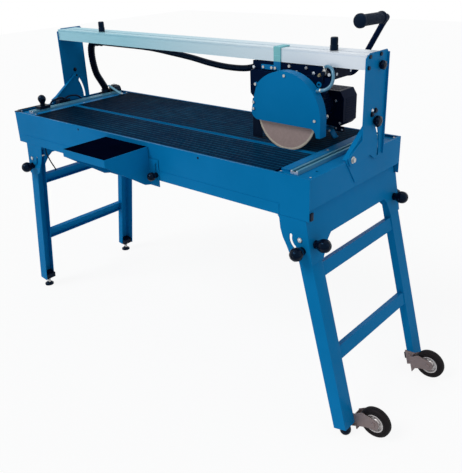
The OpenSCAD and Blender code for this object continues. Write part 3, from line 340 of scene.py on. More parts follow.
strap_coat = two_coat("strap coat", BLUE, (0.22, 0.56, 0.60), M(0, 0, STRAP_EDGE).z)
brass = brushed("brass", (0.52, 0.42, 0.24), 0.3, along=(4, 4, 4), metal=0.7, scratch=0.05)
bright_zinc = brushed("bright zinc", (0.78, 0.82, 0.86), 0.26, along=(3, 3, 3), metal=0.55, scratch=0.05)
conduit_plastic = moulded("conduit plastic", (0.0008, 0.007, 0.024), rough=0.36, grain=0.1, specular=0.2)
riser_plastic = moulded("riser plastic", (0.0005, 0.0010, 0.006), rough=0.26, grain=0.12, specular=0.14)
hose_soft = moulded("water hose", (0.06, 0.20, 0.31), rough=0.22, grain=0.06, coat=0.3, tint=(0.7, 0.85, 1))
hub_metal = brushed("hub alloy", (0.66, 0.62, 0.61), 0.34, along=(5, 5, 5), metal=0.4, scratch=0.08,
                    speckle=0.2)
blade_core = brushed("blade core", (0.37, 0.28, 0.265), 0.42, along=(8, 30, 8), metal=0.25, scratch=0.12)
blade_rim = brushed("blade rim", (0.55, 0.50, 0.42), 0.5, along=(30, 30, 30), metal=0.6, scratch=0.2,
                    speckle=0.4)

# ---- CAD nodes: edges rounded by modifiers, one finish each ----

FLAT_ANGLE, EDGE_ANGLE = math.radians(0.6), math.radians(32)
WELD_GAP = 0.00001


def soften(obj, width):
    """Rounds the edges of a CAD node without touching its own vertices."""
    weld = obj.modifiers.new("weld", "WELD")
    weld.merge_threshold = WELD_GAP
    flat = obj.modifiers.new("flat", "DECIMATE")
    flat.decimate_type = "DISSOLVE"
    flat.angle_limit = FLAT_ANGLE
    bevel = obj.modifiers.new("bevel", "BEVEL")
    bevel.width = width
    bevel.segments = 2
    bevel.limit_method = "ANGLE"
    bevel.angle_limit = EDGE_ANGLE
    bevel.harden_normals = True


# each round knob's way out from its stud
ROUND_KNOBS = {"fence_knob": UP, "table_knob": FRONT, "leg_knob_front_right": FRONT,
               "leg_knob_front_left": FRONT, "leg_knob_rear_right": REAR, "leg_knob_rear_left": REAR,
               "end_knob_front": RIGHT, "end_knob_rear": RIGHT}

# material, bevel width and nodes
FINISH = [
    (blue_paint, 0.0006, ["water_tub", "side_rails", "leg_brackets", "deck_panels", "end_covers"]),
    (blue_paint, 0.0008, ["tilt_quadrants", "post_right", "post_left", "leg_frame_left", "leg_frame_right",
                          "side_table", "blade_guard"]),
    (strap_coat, 0.0005, ["front_strap"]),
    (dark_paint, 0.0007, ["carriage_body", "motor_plate", "motor_housing"]),
    (dark_paint, 0.0025, ["motor_cover"]),
    (dark_paint, 0.0, ["handle_bar"]),
    (beam_metal, 0.0005, ["rail_beam"]),
    (rail_metal, 0.0004, ["fence_rails"]),
    (zinc, 0.0005, ["deck_supports", "pivot_bolts", "head_bolts", "roller_left", "roller_right",
                    "blade_flanges", "motor_shaft", "water_valve"]),
    (fork_metal, 0.0004, ["castor_forks"]),
    (deck_rubber, 0.0, ["deck_mats"]),
    (table_rubber, 0.0, ["table_mat"]),
    (grip_rubber, 0.0, ["handle_grip"]),
    (tyre_rubber, 0.0, ["wheel_front", "wheel_rear"]),
    (knob_black, 0.0, [*ROUND_KNOBS, "tilt_knob_right", "tilt_knob_left"]),
    (plain_black, 0.0008, ["drain_plug", "water_pump", "cable_entry", "beam_fittings", "stop_left",
                           "stop_right", "valve_lever", "levelling_feet", "leg_glides", "fence_block",
                           "post_knob"]),
    (conduit_plastic, 0.0, ["conduit_rise", "conduit_run", "stay_lead", "water_hose"]),
    (fork_metal, 0.0, ["saw_blade"]),
]
for mat, bevel, names in FINISH:
    for name in names:
        nodes[name].data.materials.clear()
        nodes[name].data.materials.append(mat)
        if bevel:
            soften(nodes[name], bevel)

# ---- Tools for meshes ----

BODIES = frame["record"]["behaviour"]["bodies"]
MERGE_GAP, ON_AXIS = 0.000002, 1e-7


def body_of(node):
    return next(body for body, names in BODIES.items() if node in names)


def shade(mesh, sharp=38):
    mesh.polygons.foreach_set("use_smooth", [True] * len(mesh.polygons))
    mesh.set_sharp_from_angle(angle=math.radians(sharp))
    mesh.update()


def finished_mesh(bm, name, sharp=38):
    bmesh.ops.remove_doubles(bm, verts=bm.verts, dist=MERGE_GAP)
    bmesh.ops.recalc_face_normals(bm, faces=bm.faces)
    mesh = bpy.data.meshes.new(name)
    bm.to_mesh(mesh)
    bm.free()
    shade(mesh, sharp)
    return mesh


def add_piece(name, mesh, body, mats, replaces=()):
    """Adds a finished mesh as a piece that rides on a body, or stays on its own when body is None."""
    obj = link(name, mesh)
    mesh.materials.clear()
    for mat in mats if isinstance(mats, list) else [mats]:
        mesh.materials.append(mat)
    if body:
        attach(obj, body)
    if replaces:
        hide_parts(*replaces)
    return obj


def add_solid(name, bm, body, mat, replaces=(), sharp=38):
    """Adds what a bmesh holds as a piece."""
    add_piece(name, finished_mesh(bm, name, sharp), body, mat, replaces)


def joined(name, parts):
    """One mesh from several, each with a material slot of its own."""
    bm = bmesh.new()
    for index, part in enumerate(parts):
        start = len(bm.faces)
        bm.from_mesh(part)
        bm.faces.ensure_lookup_table()
        for i in range(start, len(bm.faces)):
            bm.faces[i].material_index = index
    mesh = bpy.data.meshes.new(name)
    bm.to_mesh(mesh)
    bm.free()
    shade(mesh, 60)
    return mesh


def turned(bm, profile, centre, axis, n, closed=False, lobes=None):
    """A turned shape: (radius, height) pairs about an axis, closed at poles or into a ring."""
    axis = Vector(axis).normalized()
    u = axis.orthogonal().normalized()
    v = axis.cross(u)
    rings = []
    for r, h in profile:
        if r < ON_AXIS:
            rings.append([bm.verts.new(centre + axis * h)] * n)
            continue
        ring = []
        for i in range(n):
            a = 2 * math.pi * i / n
            k = lobes(a, r) if lobes else 1.0
            ring.append(bm.verts.new(centre + axis * h + r * k * (math.cos(a) * u + math.sin(a) * v)))
        rings.append(ring)
    pairs = list(zip(rings, rings[1:]))
    if closed:
        pairs.append((rings[-1], rings[0]))
    for a, b in pairs:
        for i in range(n):
            j = (i + 1) % n
            corners = []
            for vert in (a[i], a[j], b[j], b[i]):
                if vert not in corners:
                    corners.append(vert)
            if len(corners) > 2:
                bm.faces.new(corners)


def mirrored(profile):
    """A ring's profile from the half above its middle plane, as (radius, height) pairs."""
    return profile + [(r, -h) for r, h in reversed(profile) if h > 0]


def slab(bm, outline, lift, bevel):
    """A plate from a closed outline of points, thickened along a vector."""
    low = [bm.verts.new(p) for p in outline]
    high = [bm.verts.new(p + lift) for p in outline]
    made = [bm.faces.new(low), bm.faces.new(list(reversed(high)))]
    n = len(outline)
    for i in range(n):
        j = (i + 1) % n
        made.append(bm.faces.new((low[i], high[i], high[j], low[j])))
    edges = list({e for f in made for e in f.edges})
    bmesh.ops.bevel(bm, geom=edges, offset=bevel, segments=2, affect="EDGES", profile=0.6)


def block(bm, lo, hi, bevel):
    """A bevelled box between two corners."""
    outline = [Vector((x, y, lo.z)) for x, y in ((lo.x, lo.y), (hi.x, lo.y), (hi.x, hi.y), (lo.x, hi.y))]
    slab(bm, outline, Vector((0, 0, hi.z - lo.z)), bevel)


def folded(bm, path, width_dir, thick, bevel):
    """A bent strip: its middle line, its width as a vector, and its thickness."""
    side = Vector(width_dir)
    across = side.normalized()
    left, right = [], []
    for i, p in enumerate(path):
        a = path[max(i - 1, 0)]
        b = path[min(i + 1, len(path) - 1)]
        out = across.cross((b - a).normalized()).normalized() * thick / 2
        left.append(p + out - side / 2)
        right.append(p - out - side / 2)
    slab(bm, left + list(reversed(right)), side, bevel)


def spline(points, per=10):
    """A smooth line through points."""
    out = []
    p = [points[0] * 2 - points[1]] + list(points) + [points[-1] * 2 - points[-2]]
    for i in range(1, len(p) - 2):
        for k in range(per):
            t = k / per
            a, b, c, d = p[i - 1], p[i], p[i + 1], p[i + 2]
            out.append(0.5 * ((2 * b) + (c - a) * t + (2 * a - 5 * b + 4 * c - d) * t * t
                              + (3 * b - a - 3 * c + d) * t ** 3))
    out.append(points[-1].copy())
    return out


# ---- Growers: geometry node trees for what repeats or follows a line ----

class Grower:
    """Builds one geometry node tree with named inputs, each given as (name, kind, start value)."""

    def __init__(self, name, inputs):
        self.group = bpy.data.node_groups.new(name, "GeometryNodeTree")
        face = self.group.interface
        face.new_socket("Geometry", in_out="INPUT", socket_type="NodeSocketGeometry")
        for label, kind, value in inputs:
            face.new_socket(label, in_out="INPUT", socket_type="NodeSocket" + kind).default_value = value
        face.new_socket("Material", in_out="INPUT", socket_type="NodeSocketMaterial")
        face.new_socket("Geometry", in_out="OUTPUT", socket_type="NodeSocketGeometry")
        self.given = self.group.nodes.new("NodeGroupInput").outputs
        self.out = self.group.nodes.new("NodeGroupOutput")

    def node(self, kind, settings=None, **sockets):
        """Adds a node; i0, i1 and so on stand for its inputs by number."""
        node = self.group.nodes.new(kind)
        for key, value in (settings or {}).items():
            setattr(node, key, value)
        for key, value in sockets.items():
            numbered = key[0] == "i" and key[1:].isdigit()
            socket = node.inputs[int(key[1:]) if numbered else key.replace("_", " ")]
            if isinstance(value, bpy.types.NodeSocket):
                self.group.links.new(value, socket)
            else:
                socket.default_value = value
        return node

    def calc(self, how, a, b=0.5):
        return self.node("ShaderNodeMath", {"operation": how}, i0=a, i1=b).outputs[0]

    def set_on_points(self, thing):
        """Puts a copy on each point, its Z axis along the point's facing."""
        way = self.node("GeometryNodeInputNamedAttribute", {"data_type": "FLOAT_VECTOR"}, Name="facing")
        turn = self.node("FunctionNodeAlignRotationToVector", {"axis": "Z"}, Vector=way.outputs[0])
        put = self.node("GeometryNodeInstanceOnPoints", Points=self.given["Geometry"], Instance=thing,
                        Rotation=turn.outputs[0])
        return self.finish(put.outputs[0])

    def finish(self, geometry):
        real = self.node("GeometryNodeRealizeInstances", Geometry=geometry)
        done = self.node("GeometryNodeSetMaterial", Geometry=real.outputs[0], Material=self.given["Material"])
        self.group.links.new(done.outputs[0], self.out.inputs[0])
        return self


def grow(name, base, grower, mat, sharp=38, **values):
    """Runs a grower on a base mesh and gives back a plain mesh."""
    obj = link(name + "_base", base)
    mod = obj.modifiers.new("grow", "NODES")
    mod.node_group = grower.group
    values["Material"] = mat
    for item in grower.group.interface.items_tree:
        if item.item_type == "SOCKET" and item.in_out == "INPUT" and item.name in values:
            mod[item.identifier] = values[item.name]
    graph = bpy.context.evaluated_depsgraph_get()
    mesh = bpy.data.meshes.new_from_object(obj.evaluated_get(graph))
    mesh.name = name
    obj.modifiers.remove(mod)
    bpy.data.objects.remove(obj)
    shade(mesh, sharp)
    return mesh


def make_ribbed_tube():
    """A tube along a line, with rounded rings and grooves at an even pitch."""
    g = Grower("ribbed tube", [("Radius", "Float", 0.01), ("Pitch", "Float", 0.005), ("Depth", "Float", 0.1),
                               ("Groove", "Float", 0.4), ("Step", "Float", 0.001), ("Sides", "Int", 24)])
    line = g.node("GeometryNodeMeshToCurve", Mesh=g.given["Geometry"])
    even = g.node("GeometryNodeResampleCurve", {"mode": "LENGTH"}, Curve=line.outputs[0],
                  Length=g.given["Step"])
    run = g.node("GeometryNodeSplineParameter").outputs["Length"]
    phase = g.calc("FRACT", g.calc("DIVIDE", run, g.given["Pitch"]))
    off = g.calc("MULTIPLY", g.calc("ABSOLUTE", g.calc("SUBTRACT", phase, 0.5)), 2.0)
    dip = g.node("ShaderNodeMapRange", {"interpolation_type": "SMOOTHSTEP"}, Value=off,
                 From_Min=g.calc("SUBTRACT", 1.0, g.given["Groove"]), From_Max=1.0, To_Min=0.0, To_Max=1.0)
    scale = g.calc("SUBTRACT", 1.0, g.calc("MULTIPLY", dip.outputs[0], g.given["Depth"]))
    sized = g.node("GeometryNodeSetCurveRadius", Curve=even.outputs[0], Radius=scale)
    ring = g.node("GeometryNodeCurvePrimitiveCircle", {"mode": "RADIUS"}, Resolution=g.given["Sides"],
                  Radius=g.given["Radius"])
    tube = g.node("GeometryNodeCurveToMesh", Curve=sized.outputs[0], Profile_Curve=ring.outputs[0])
    tube.inputs["Fill Caps"].default_value = True
    if "Scale" in tube.inputs:
        radius = g.node("GeometryNodeInputRadius").outputs[0]
        g.group.links.new(radius, tube.inputs["Scale"])
    return g.finish(tube.outputs[0])


def make_set_heads(name, dome):
    """Sets one screw head with its washer on each point, facing along the point's own direction."""
    g = Grower(name, [("Radius", "Float", 0.005), ("Height", "Float", 0.003), ("Washer", "Float", 1.5)])
    flat = g.node("GeometryNodeMeshCylinder", Vertices=28,
                  Radius=g.calc("MULTIPLY", g.given["Radius"], g.given["Washer"]),
                  Depth=g.calc("MULTIPLY", g.given["Height"], 0.3))
    if dome:
        ball = g.node("GeometryNodeMeshUVSphere", Segments=20, Rings=12, Radius=g.given["Radius"])
        squash = g.node("ShaderNodeCombineXYZ", X=1.0, Y=1.0,
                        Z=g.calc("DIVIDE", g.given["Height"], g.given["Radius"]))
        head = g.node("GeometryNodeTransform", Geometry=ball.outputs[0], Scale=squash.outputs[0])
    else:
        head = g.node("GeometryNodeMeshCone", Vertices=6, Radius_Bottom=g.given["Radius"],
                      Radius_Top=g.calc("MULTIPLY", g.given["Radius"], 0.9), Depth=g.given["Height"])
    both = g.node("GeometryNodeJoinGeometry")
    g.group.links.new(flat.outputs[0], both.inputs[0])
    g.group.links.new(head.outputs[0], both.inputs[0])
    return g.set_on_points(both.outputs[0])


def make_set_bars():
    """Sets one small bar on each point, its length turned to the point's own direction."""
    g = Grower("set bars", [("Size", "Vector", (0.002, 0.002, 0.01))])
    return g.set_on_points(g.node("GeometryNodeMeshCube", Size=g.given["Size"]).outputs[0])


ribbed_tube = make_ribbed_tube()
hex_heads = make_set_heads("hexagon heads", False)
dome_heads = make_set_heads("dome heads", True)
bars = make_set_bars()


def line_mesh(*lines):
    """A mesh of separate lines, each given as its points."""
    points, edges = [], []
    for line in lines:
        edges += [(len(points) + i, len(points) + i + 1) for i in range(len(line) - 1)]
        points += [tuple(p) for p in line]
    mesh = bpy.data.meshes.new("line")
    mesh.from_pydata(points, edges, [])
    return mesh


def spots(places):
    """Points with a direction each: (place, facing)."""
    mesh = bpy.data.meshes.new("spots")
    mesh.from_pydata([tuple(p) for p, f in places], [], [])
    way = mesh.attributes.new("facing", "FLOAT_VECTOR", "POINT")
    for item, (p, f) in zip(way.data, places):
        item.vector = Vector(f).normalized()
    return mesh


# ---- Conduits, leads and the water hose ----

def conduit(name, points, radius, pitch, depth, groove, mat):
    """A ribbed conduit along points, its radius and pitch in millimetres."""
    return grow(name, line_mesh(spline(points)), ribbed_tube, mat, sharp=80, Radius=radius / 1000,
                Pitch=pitch / 1000, Depth=depth, Groove=groove, Step=pitch / 8000, Sides=24)


def smooth_tube(name, lines, radius, step, sides, mat):
    """One plain round tube along each line of points."""
    return grow(name, line_mesh(*(spline(line, 8) for line in lines)), ribbed_tube, mat, Radius=radius,
                Depth=0.0, Step=step, Sides=sides)


RISE = route((-796, 512, 9), (-796, 512, 20), (-794, 504, 36), (-792, 490, 58), (-788, 462, 104),
             (-784, 447, 155), (-777, 438, 205), (-762, 431, 242), (-735, 424, 262), (-710, 421, RUN_Z),
             (-695, 421, RUN_Z))
RUN = route((-694.7, 421, RUN_Z), (-673, 421, RUN_Z), (-555, 420, RUN_Z), (-330, 420, 266), (-168, 418, 254),
            (-59, 416, 244), (44, 413, 231), (143, 409, 224), (238, 403, 227), (300, 397, 240),
            (328, 393, 256), (346, 392, 263), (356, 392, 264), (365, 392, 264))
riser = conduit("conduit_riser", RISE, 17, 11.5, 0.12, 0.45, riser_plastic)

# painted glints: bright dots in a row on the riser's side that faces the camera; their spacing,
# their distance from its middle line, and the steps of that line left free at its ends
GLINT_GAP, GLINT_OUT = 0.023, 0.0166
FREE_AT_START, FREE_AT_END = 12, 24
CAMERA_SIDE = Vector((0.62, -0.72, 0.30)).normalized()
middle = spline(RISE)
glint_places, gone = [], 0.0
for i in range(FREE_AT_START, len(middle) - FREE_AT_END):
    step = middle[i + 1] - middle[i]
    gone += step.length
    if gone > GLINT_GAP:
        gone = 0.0
        way = CAMERA_SIDE - step.normalized() * CAMERA_SIDE.dot(step.normalized())
        glint_places.append((middle[i] + way.normalized() * GLINT_OUT, way))
glints = grow("riser_glints", spots(glint_places), dome_heads, bright_zinc, Radius=0.0019, Height=0.0016, Washer=1.3)
# the riser and its painted glint dots as one mesh
rise = add_piece("conduit_riser", joined("conduit_riser", [riser, glints]), None,
                 [riser_plastic, bright_zinc], ["conduit_rise"])
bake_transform(rise)
along = conduit("conduit_along_beam", RUN, 12.4, 5.2, 0.09, 0.5, conduit_plastic)
run = add_piece("conduit_along_beam", along, None, conduit_plastic, ["conduit_run"])
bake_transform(run)

# cuffs where the conduit is held
bm = bmesh.new()
turned(bm, [(13.5e-3, 0), (17.2e-3, 0), (17.8e-3, 1e-3), (17.8e-3, 9e-3), (17e-3, 12e-3), (13.5e-3, 12e-3)],
       M(-707, 421, RUN_Z), RIGHT, 40, closed=True)
turned(bm, [(13e-3, 0), (15.6e-3, 0), (16e-3, 1e-3), (16e-3, 6e-3), (13e-3, 6e-3)], M(-672, 421, RUN_Z),
       RIGHT, 36, closed=True)
add_solid("conduit_cuffs", bm, "bridge", plain_black)

# two loops of lead on the left rim, each held at both ends by the end cover
FRONT_LOOP = route((-792, 170, 4), (-791, 180, 16), (-790, 204, 24), (-790, 237, 24.8), (-789, 254, 14),
                   (-788, 262, 3))
REAR_LOOP = route((-791, 244, 4), (-790, 261, 20), (-790, 285, 25), (-790, 319, 21), (-789, 340, 11),
                  (-788, 350, -1))
loops = smooth_tube("pump_lead", [FRONT_LOOP, REAR_LOOP], 0.0042, 0.003, 14, plain_black)
add_piece("pump_lead", loops, "tub", plain_black)

# ---- The lead to the left legs, held at both ends ----

def far_points(node, axis, depth=0.0006):
    """Middle of a CAD node's points within a depth of its last one along an axis."""
    axis = Vector(axis)
    points = [v.co.copy() for v in nodes[node].data.vertices]
    top = max(p.dot(axis) for p in points)
    near = [p for p in points if p.dot(axis) > top - depth]
    return sum(near, Vector()) / len(near)


stay_end = far_points("stay_lead", (0, 0, -1))
STAY = [*route((-745, 75.8, -142), (-745, 75.8, -160), (-745, 76.2, -190), (-746, 78.5, -212)),
        stay_end + Vector((0.010, -0.026, 0.052)), stay_end + Vector((0.0035, -0.008, 0.020)),
        stay_end + Vector((0, 0, 0.006)), stay_end]
stay = add_piece("leg_lead", smooth_tube("leg_lead", [STAY], 0.003, 0.004, 12, plain_black), None,
                 plain_black, ["stay_lead"])
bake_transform(stay)

# ---- Water hose, its clips and the nozzle ----

HOSE = route((686, 290, 280), (686.6, 290, 284), (691, 289.5, 288), (703, 286, 290), (718, 280, 286),
             (730, 272, 273), (736, 264, 253), (732, 254, 233), (719, 244, 222), (704, 239, 218.5),
             (690, 238, 216))
add_piece("feed_hose", smooth_tube("feed_hose", [HOSE], 0.0056, 0.0022, 24, hose_soft), "carriage",
          hose_soft, ["water_hose"])
CLIP = mirrored([(5.4e-3, 2.6e-3), (6.3e-3, 2.6e-3), (6.7e-3, 2e-3)])
bm = bmesh.new()
for at, way in ((HOSE[1], HOSE[2] - HOSE[1]), (HOSE[-2], HOSE[-1] - HOSE[-2])):
    turned(bm, CLIP, at, way, 32, closed=True)
add_solid("hose_clips", bm, "carriage", zinc)

# ---- Handle grip ----

GRIP = M(800, 450, 432)
GRIP_WAY = Vector((0, -0.99974, 0.0227))
ribs = grow("grip_ribs", line_mesh([GRIP + GRIP_WAY * t for t in (0.009, 0.06, 0.131)]), ribbed_tube,
            grip_rubber, sharp=70, Radius=0.0185, Pitch=0.0068, Depth=0.11, Groove=0.5, Step=0.00085,
            Sides=36)
add_piece("grip_ribs", ribs, "carriage", grip_rubber, ["handle_grip"])
bm = bmesh.new()
turned(bm, [(10.4e-3, 0), (19e-3, 0), (21e-3, 1.2e-3), (21e-3, 7e-3), (19.5e-3, 9e-3), (10.4e-3, 9e-3)], GRIP,
       GRIP_WAY, 44, closed=True)
turned(bm, [(0, 0.1305), (16.5e-3, 0.1305), (21e-3, 0.132), (23e-3, 0.1345), (23e-3, 0.1425),
            (21.5e-3, 0.146), (17e-3, 0.1488), (0, 0.149)], GRIP, GRIP_WAY, 44)
add_solid("grip_ends", bm, "carriage", grip_rubber)

# ---- Hand knobs ----

def knob_frame(node, guess):
    """Head's middle, its diameter and the stud's end of a round clamp knob."""
    lo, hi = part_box(node)
    guess = Vector(guess)
    size = hi - lo
    d = min(size[i] for i in range(3) if abs(guess[i]) < 0.5)
    head = far_points(node, guess, 0.00005) - guess * d / 2
    return head, d, far_points(node, -guess, 0.0012)


def lobed(count, depth, start):
    """Finger hollows around a knob, growing outside a radius."""
    def wave(a, r):
        reach = min(1.0, max(0.0, (r - start) / (0.3 * start)))
        return 1 - depth * reach * (0.5 - 0.5 * math.cos(count * a)) ** 1.6
    return wave


STUD_R = 4.9e-3
ROUND_EDGE = [(0.335, -0.44), (0.375, -0.35), (0.437, -0.25), (0.478, -0.14), (0.498, -0.03), (0.495, 0.05),
              (0.474, 0.15), (0.43, 0.25), (0.36, 0.345), (0.27, 0.42), (0.16, 0.474), (0.1, 0.488),
              (0.085, 0.478), (0, 0.474)]
FLAT_EDGE = [(0, 0), (0.3, 0), (0.31, 0.1), (0.42, 0.2), (0.48, 0.3), (0.499, 0.45), (0.499, 0.66),
             (0.48, 0.8), (0.43, 0.9), (0.3, 0.985), (0.15, 0.995), (0.13, 0.95), (0, 0.95)]


def round_knob(node, guess):
    """Ball-shaped clamp knob on its stud, in the place of a CAD knob."""
    head, d, stud = knob_frame(node, guess)
    way = (head - stud).normalized()
    back = (head - stud).length
    seat = 0.46 * d + 0.012
    bm = bmesh.new()
    profile = [(0, -seat), (0.285 * d, -seat), (0.305 * d, -seat + 0.0012), (0.31 * d, -seat + 0.0045),
               (0.296 * d, -seat + 0.006), (0.305 * d, -0.52 * d)]
    profile += [(r * d, h * d) for r, h in ROUND_EDGE]
    turned(bm, profile, head, way, 64, lobes=lobed(8, 0.05, 0.26 * d))
    turned(bm, [(0, -back), (4.1e-3, -back), (STUD_R, -back + 0.0008), (STUD_R, -seat + 0.001),
                (0, -seat + 0.001)], head, way, 24)
    add_solid(node + "_head", bm, body_of(node), knob_black, [node])


for node, facing in ROUND_KNOBS.items():
    round_knob(node, facing)


def flat_knob(node, way, d, h, count, depth):
    """Flat clamp knob of a diameter and height, with finger hollows."""
    way = Vector(way)
    face = far_points(node, way, 0.0003) - way * h
    stud = far_points(node, -way, 0.0003)
    bm = bmesh.new()
    turned(bm, [(r * d, t * h) for r, t in FLAT_EDGE], face, way, 72, lobes=lobed(count, depth, 0.32 * d))
    back = (face - stud).dot(way)
    turned(bm, [(0, -back), (STUD_R, -back), (STUD_R, 0.001), (0, 0.001)], face, way, 24)
    add_solid(node + "_head", bm, body_of(node), knob_black, [node])


flat_knob("tilt_knob_right", RIGHT, 0.040, 0.023, 7, 0.16)
flat_knob("tilt_knob_left", LEFT, 0.040, 0.023, 7, 0.16)
flat_knob("post_knob", RIGHT, 0.032, 0.019, 6, 0.18)

# ---- Castor wheels ----

# drawn for a wheel of 50 mm radius and 15 mm half width
DRAWN_R, DRAWN_HALF_W = 0.05, 0.0150
TREAD = mirrored([(0.0500, 0.0), (0.0500, 0.0024), (0.0490, 0.0029), (0.0490, 0.0039), (0.0499, 0.0044),
                  (0.0494, 0.0080), (0.0476, 0.0108), (0.0446, 0.0130), (0.0408, 0.0145), (0.0402, 0.0138),
                  (0.0394, 0.0138), (0.0388, 0.0147), (0.0340, 0.0148), (0.0312, 0.0138), (0.0298, 0.0118)])
DISC = mirrored([(0.0052, 0.0135), (0.0104, 0.0135), (0.0112, 0.0125), (0.0116, 0.0062), (0.0134, 0.0042),
                 (0.0236, 0.0042), (0.0252, 0.0056), (0.0262, 0.0105), (0.0274, 0.0126), (0.0302, 0.0126),
                 (0.0306, 0.0110)])
HOLE_CIRCLE, HOLE_R, DISC_FACE = 0.0186, 0.0042, 0.0044
DRILL_REACH = 0.02                   # to both sides of the disc's middle
FIRST_HOLE, FIRST_RIVET = 40, 4      # degrees around the axle


def five_around(middle, radius, first):
    """Five points on a circle about Y, the first at an angle in degrees."""
    angles = [math.radians(72 * i + first) for i in range(5)]
    return [middle + Vector((math.cos(a), 0, math.sin(a))) * radius for a in angles]


def castor_wheel(node, label):
    """Tyre, pierced disc and rivets in the place of a CAD wheel."""
    lo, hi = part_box(node)
    mid = (lo + hi) / 2
    wide = (hi.y - lo.y) / 2 / DRAWN_HALF_W
    tall = (hi.z - lo.z) / 2 / DRAWN_R
    body = body_of(node)
    bm = bmesh.new()
    turned(bm, [(r * tall, h * wide) for r, h in TREAD], mid, REAR, 96, closed=True)
    add_solid(label + "_tyre", bm, body, tyre_rubber, [node], sharp=30)

    bm = bmesh.new()
    turned(bm, [(r * tall, h * wide) for r, h in DISC], mid, REAR, 96, closed=True)
    disc = link("disc", finished_mesh(bm, "disc", 30))
    bm = bmesh.new()
    for place in five_around(mid, HOLE_CIRCLE * tall, FIRST_HOLE):
        turned(bm, [(0, -DRILL_REACH), (HOLE_R, -DRILL_REACH), (HOLE_R, DRILL_REACH), (0, DRILL_REACH)],
               place, REAR, 24)
    drill = link("drill", finished_mesh(bm, "drill"))
    cut = disc.modifiers.new("cut", "BOOLEAN")
    cut.object, cut.operation, cut.solver = drill, "DIFFERENCE", "EXACT"
    mesh = bpy.data.meshes.new_from_object(disc.evaluated_get(bpy.context.evaluated_depsgraph_get()))
    mesh.name = label + "_hub"
    bpy.data.objects.remove(disc)
    bpy.data.objects.remove(drill)
    shade(mesh, 30)
    add_piece(label + "_hub", mesh, body, hub_metal)

    places = [(place + Vector((0, side * DISC_FACE * wide, 0)), (0, side, 0))
              for place in five_around(mid, HOLE_CIRCLE * tall, FIRST_RIVET) for side in (-1, 1)]
    rivets = grow(label + "_rivets", spots(places), dome_heads, zinc, Radius=0.0024, Height=0.0014,
                  Washer=1.4)
    add_piece(label + "_rivets", rivets, body, zinc)


castor_wheel("wheel_front", "front_wheel")
castor_wheel("wheel_rear", "rear_wheel")

# ---- Saw blade ----

BLADE_LO, BLADE_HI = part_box("saw_blade")
BLADE_MIDDLE = (BLADE_LO + BLADE_HI) / 2
R = (BLADE_HI.x - BLADE_LO.x) / 2
CORE = mirrored([(0.0127, 0.00096), (0.0135, 0.00100), (R - 0.0085, 0.00100), (R - 0.0078, 0.00115)])
RIM = mirrored([(R - 0.0080, 0.00112), (R - 0.0074, 0.00135), (R - 0.0006, 0.00135), (R, 0.00100)])
bm = bmesh.new()
turned(bm, CORE, BLADE_MIDDLE, REAR, 160, closed=True)
add_solid("blade_core", bm, "blade", blade_core, ["saw_blade"], sharp=30)
bm = bmesh.new()
turned(bm, RIM, BLADE_MIDDLE, REAR, 160, closed=True)
add_solid("blade_rim", bm, "blade", blade_rim, sharp=30)

# ---- Edging on both sides of the blade's slot ----

EDGING_END = 684
bm = bmesh.new()
for y0, y1 in ((226.9, 228.3), (247.7, 249.1)):
    block(bm, M(-EDGING_END, y0, -10), M(EDGING_END, y1, 0.3), bevel=0.0004)
add_solid("slot_edging", bm, "tub", blue_paint)

# ---- Small parts of the sawing head ----

def heads(name, body, kind, mat, sizes, places):
    """Screw heads of a radius, height and washer ratio, on places in millimetres with a direction each."""
    radius, height, washer = sizes
    mesh = grow(name, spots([(M(*at), way) for at, way in places]), kind, mat, Radius=radius, Height=height,
                Washer=washer)
    add_piece(name, mesh, body, mat)


SAG = [(281.4, 150), (281.4, 118), (281.0, 84), (280.2, 52), (279.4, 30), (279.0, 14), (279.6, 5)]
bm = bmesh.new()
folded(bm, [M(402, y, z) for y, z in SAG], (0.044, 0, 0), 0.003, bevel=0.0008)
for x in range(386, 419, 8):
    folded(bm, [M(x, y - 1.7, z) for y, z in SAG[2:]], (0.0026, 0, 0), 0.0012, bevel=0.0003)
add_solid("splash_flap", bm, "carriage", grip_rubber)
bm = bmesh.new()
block(bm, M(381, 277.6, 132), M(423, 279.8, 146), bevel=0.0007)
add_solid("flap_strip", bm, "carriage", dark_paint)
heads("flap_screws", "carriage", dome_heads, bright_zinc, (0.0028, 0.002, 1.5),
      [((x, 277.6, 139), FRONT) for x in (388, 416)])

# bent guide and lug beside the motor's cover, the cover's screws and louvres
bm = bmesh.new()
folded(bm, route((600, 440, 47), (600, 440, 38), (604, 440, 35.5), (620, 440, 31.5), (627, 440, 27.5),
                 (634, 440, 16), (641, 440, 6), (648, 440, 3.4)), (0, 0.030, 0), 0.0026, bevel=0.0005)
add_solid("drip_guide", bm, "carriage", blue_paint)
bm = bmesh.new()
slab(bm, [M(x, 435.4, z) for x, z in ((641, 33), (645, 29), (676, 28), (681, 32), (681, 49), (641, 49))],
     Vector((0, 0.0035, 0)), bevel=0.0006)
add_solid("cover_lug", bm, "carriage", dark_paint)
heads("lug_screws", "carriage", dome_heads, bright_zinc, (0.003, 0.0026, 1.4),
      [((648, 435.4, 40), FRONT), ((673, 435.4, 37), FRONT), ((626, 424.8, 29), (0, -1, 0.4))])
heads("cover_screws", "carriage", dome_heads, bright_zinc, (0.0034, 0.0028, 1.5),
      [((x, 437, z), FRONT) for x, z in ((642, 140), (484, 150), (484, 60), (662, 60))])
for name, places, size in (
        ("cover_louvres", [(675.2, 484, z) for z in range(72, 152, 9)], (0.0022, 0.0034, 0.058)),
        ("cover_top_louvres", [(x, 484, 176.2) for x in range(508, 645, 12)], (0.0034, 0.0018, 0.058))):
    louvres = grow(name, spots([(M(*at), REAR) for at in places]), bars, dark_paint, Size=size)
    add_piece(name, louvres, "carriage", dark_paint)

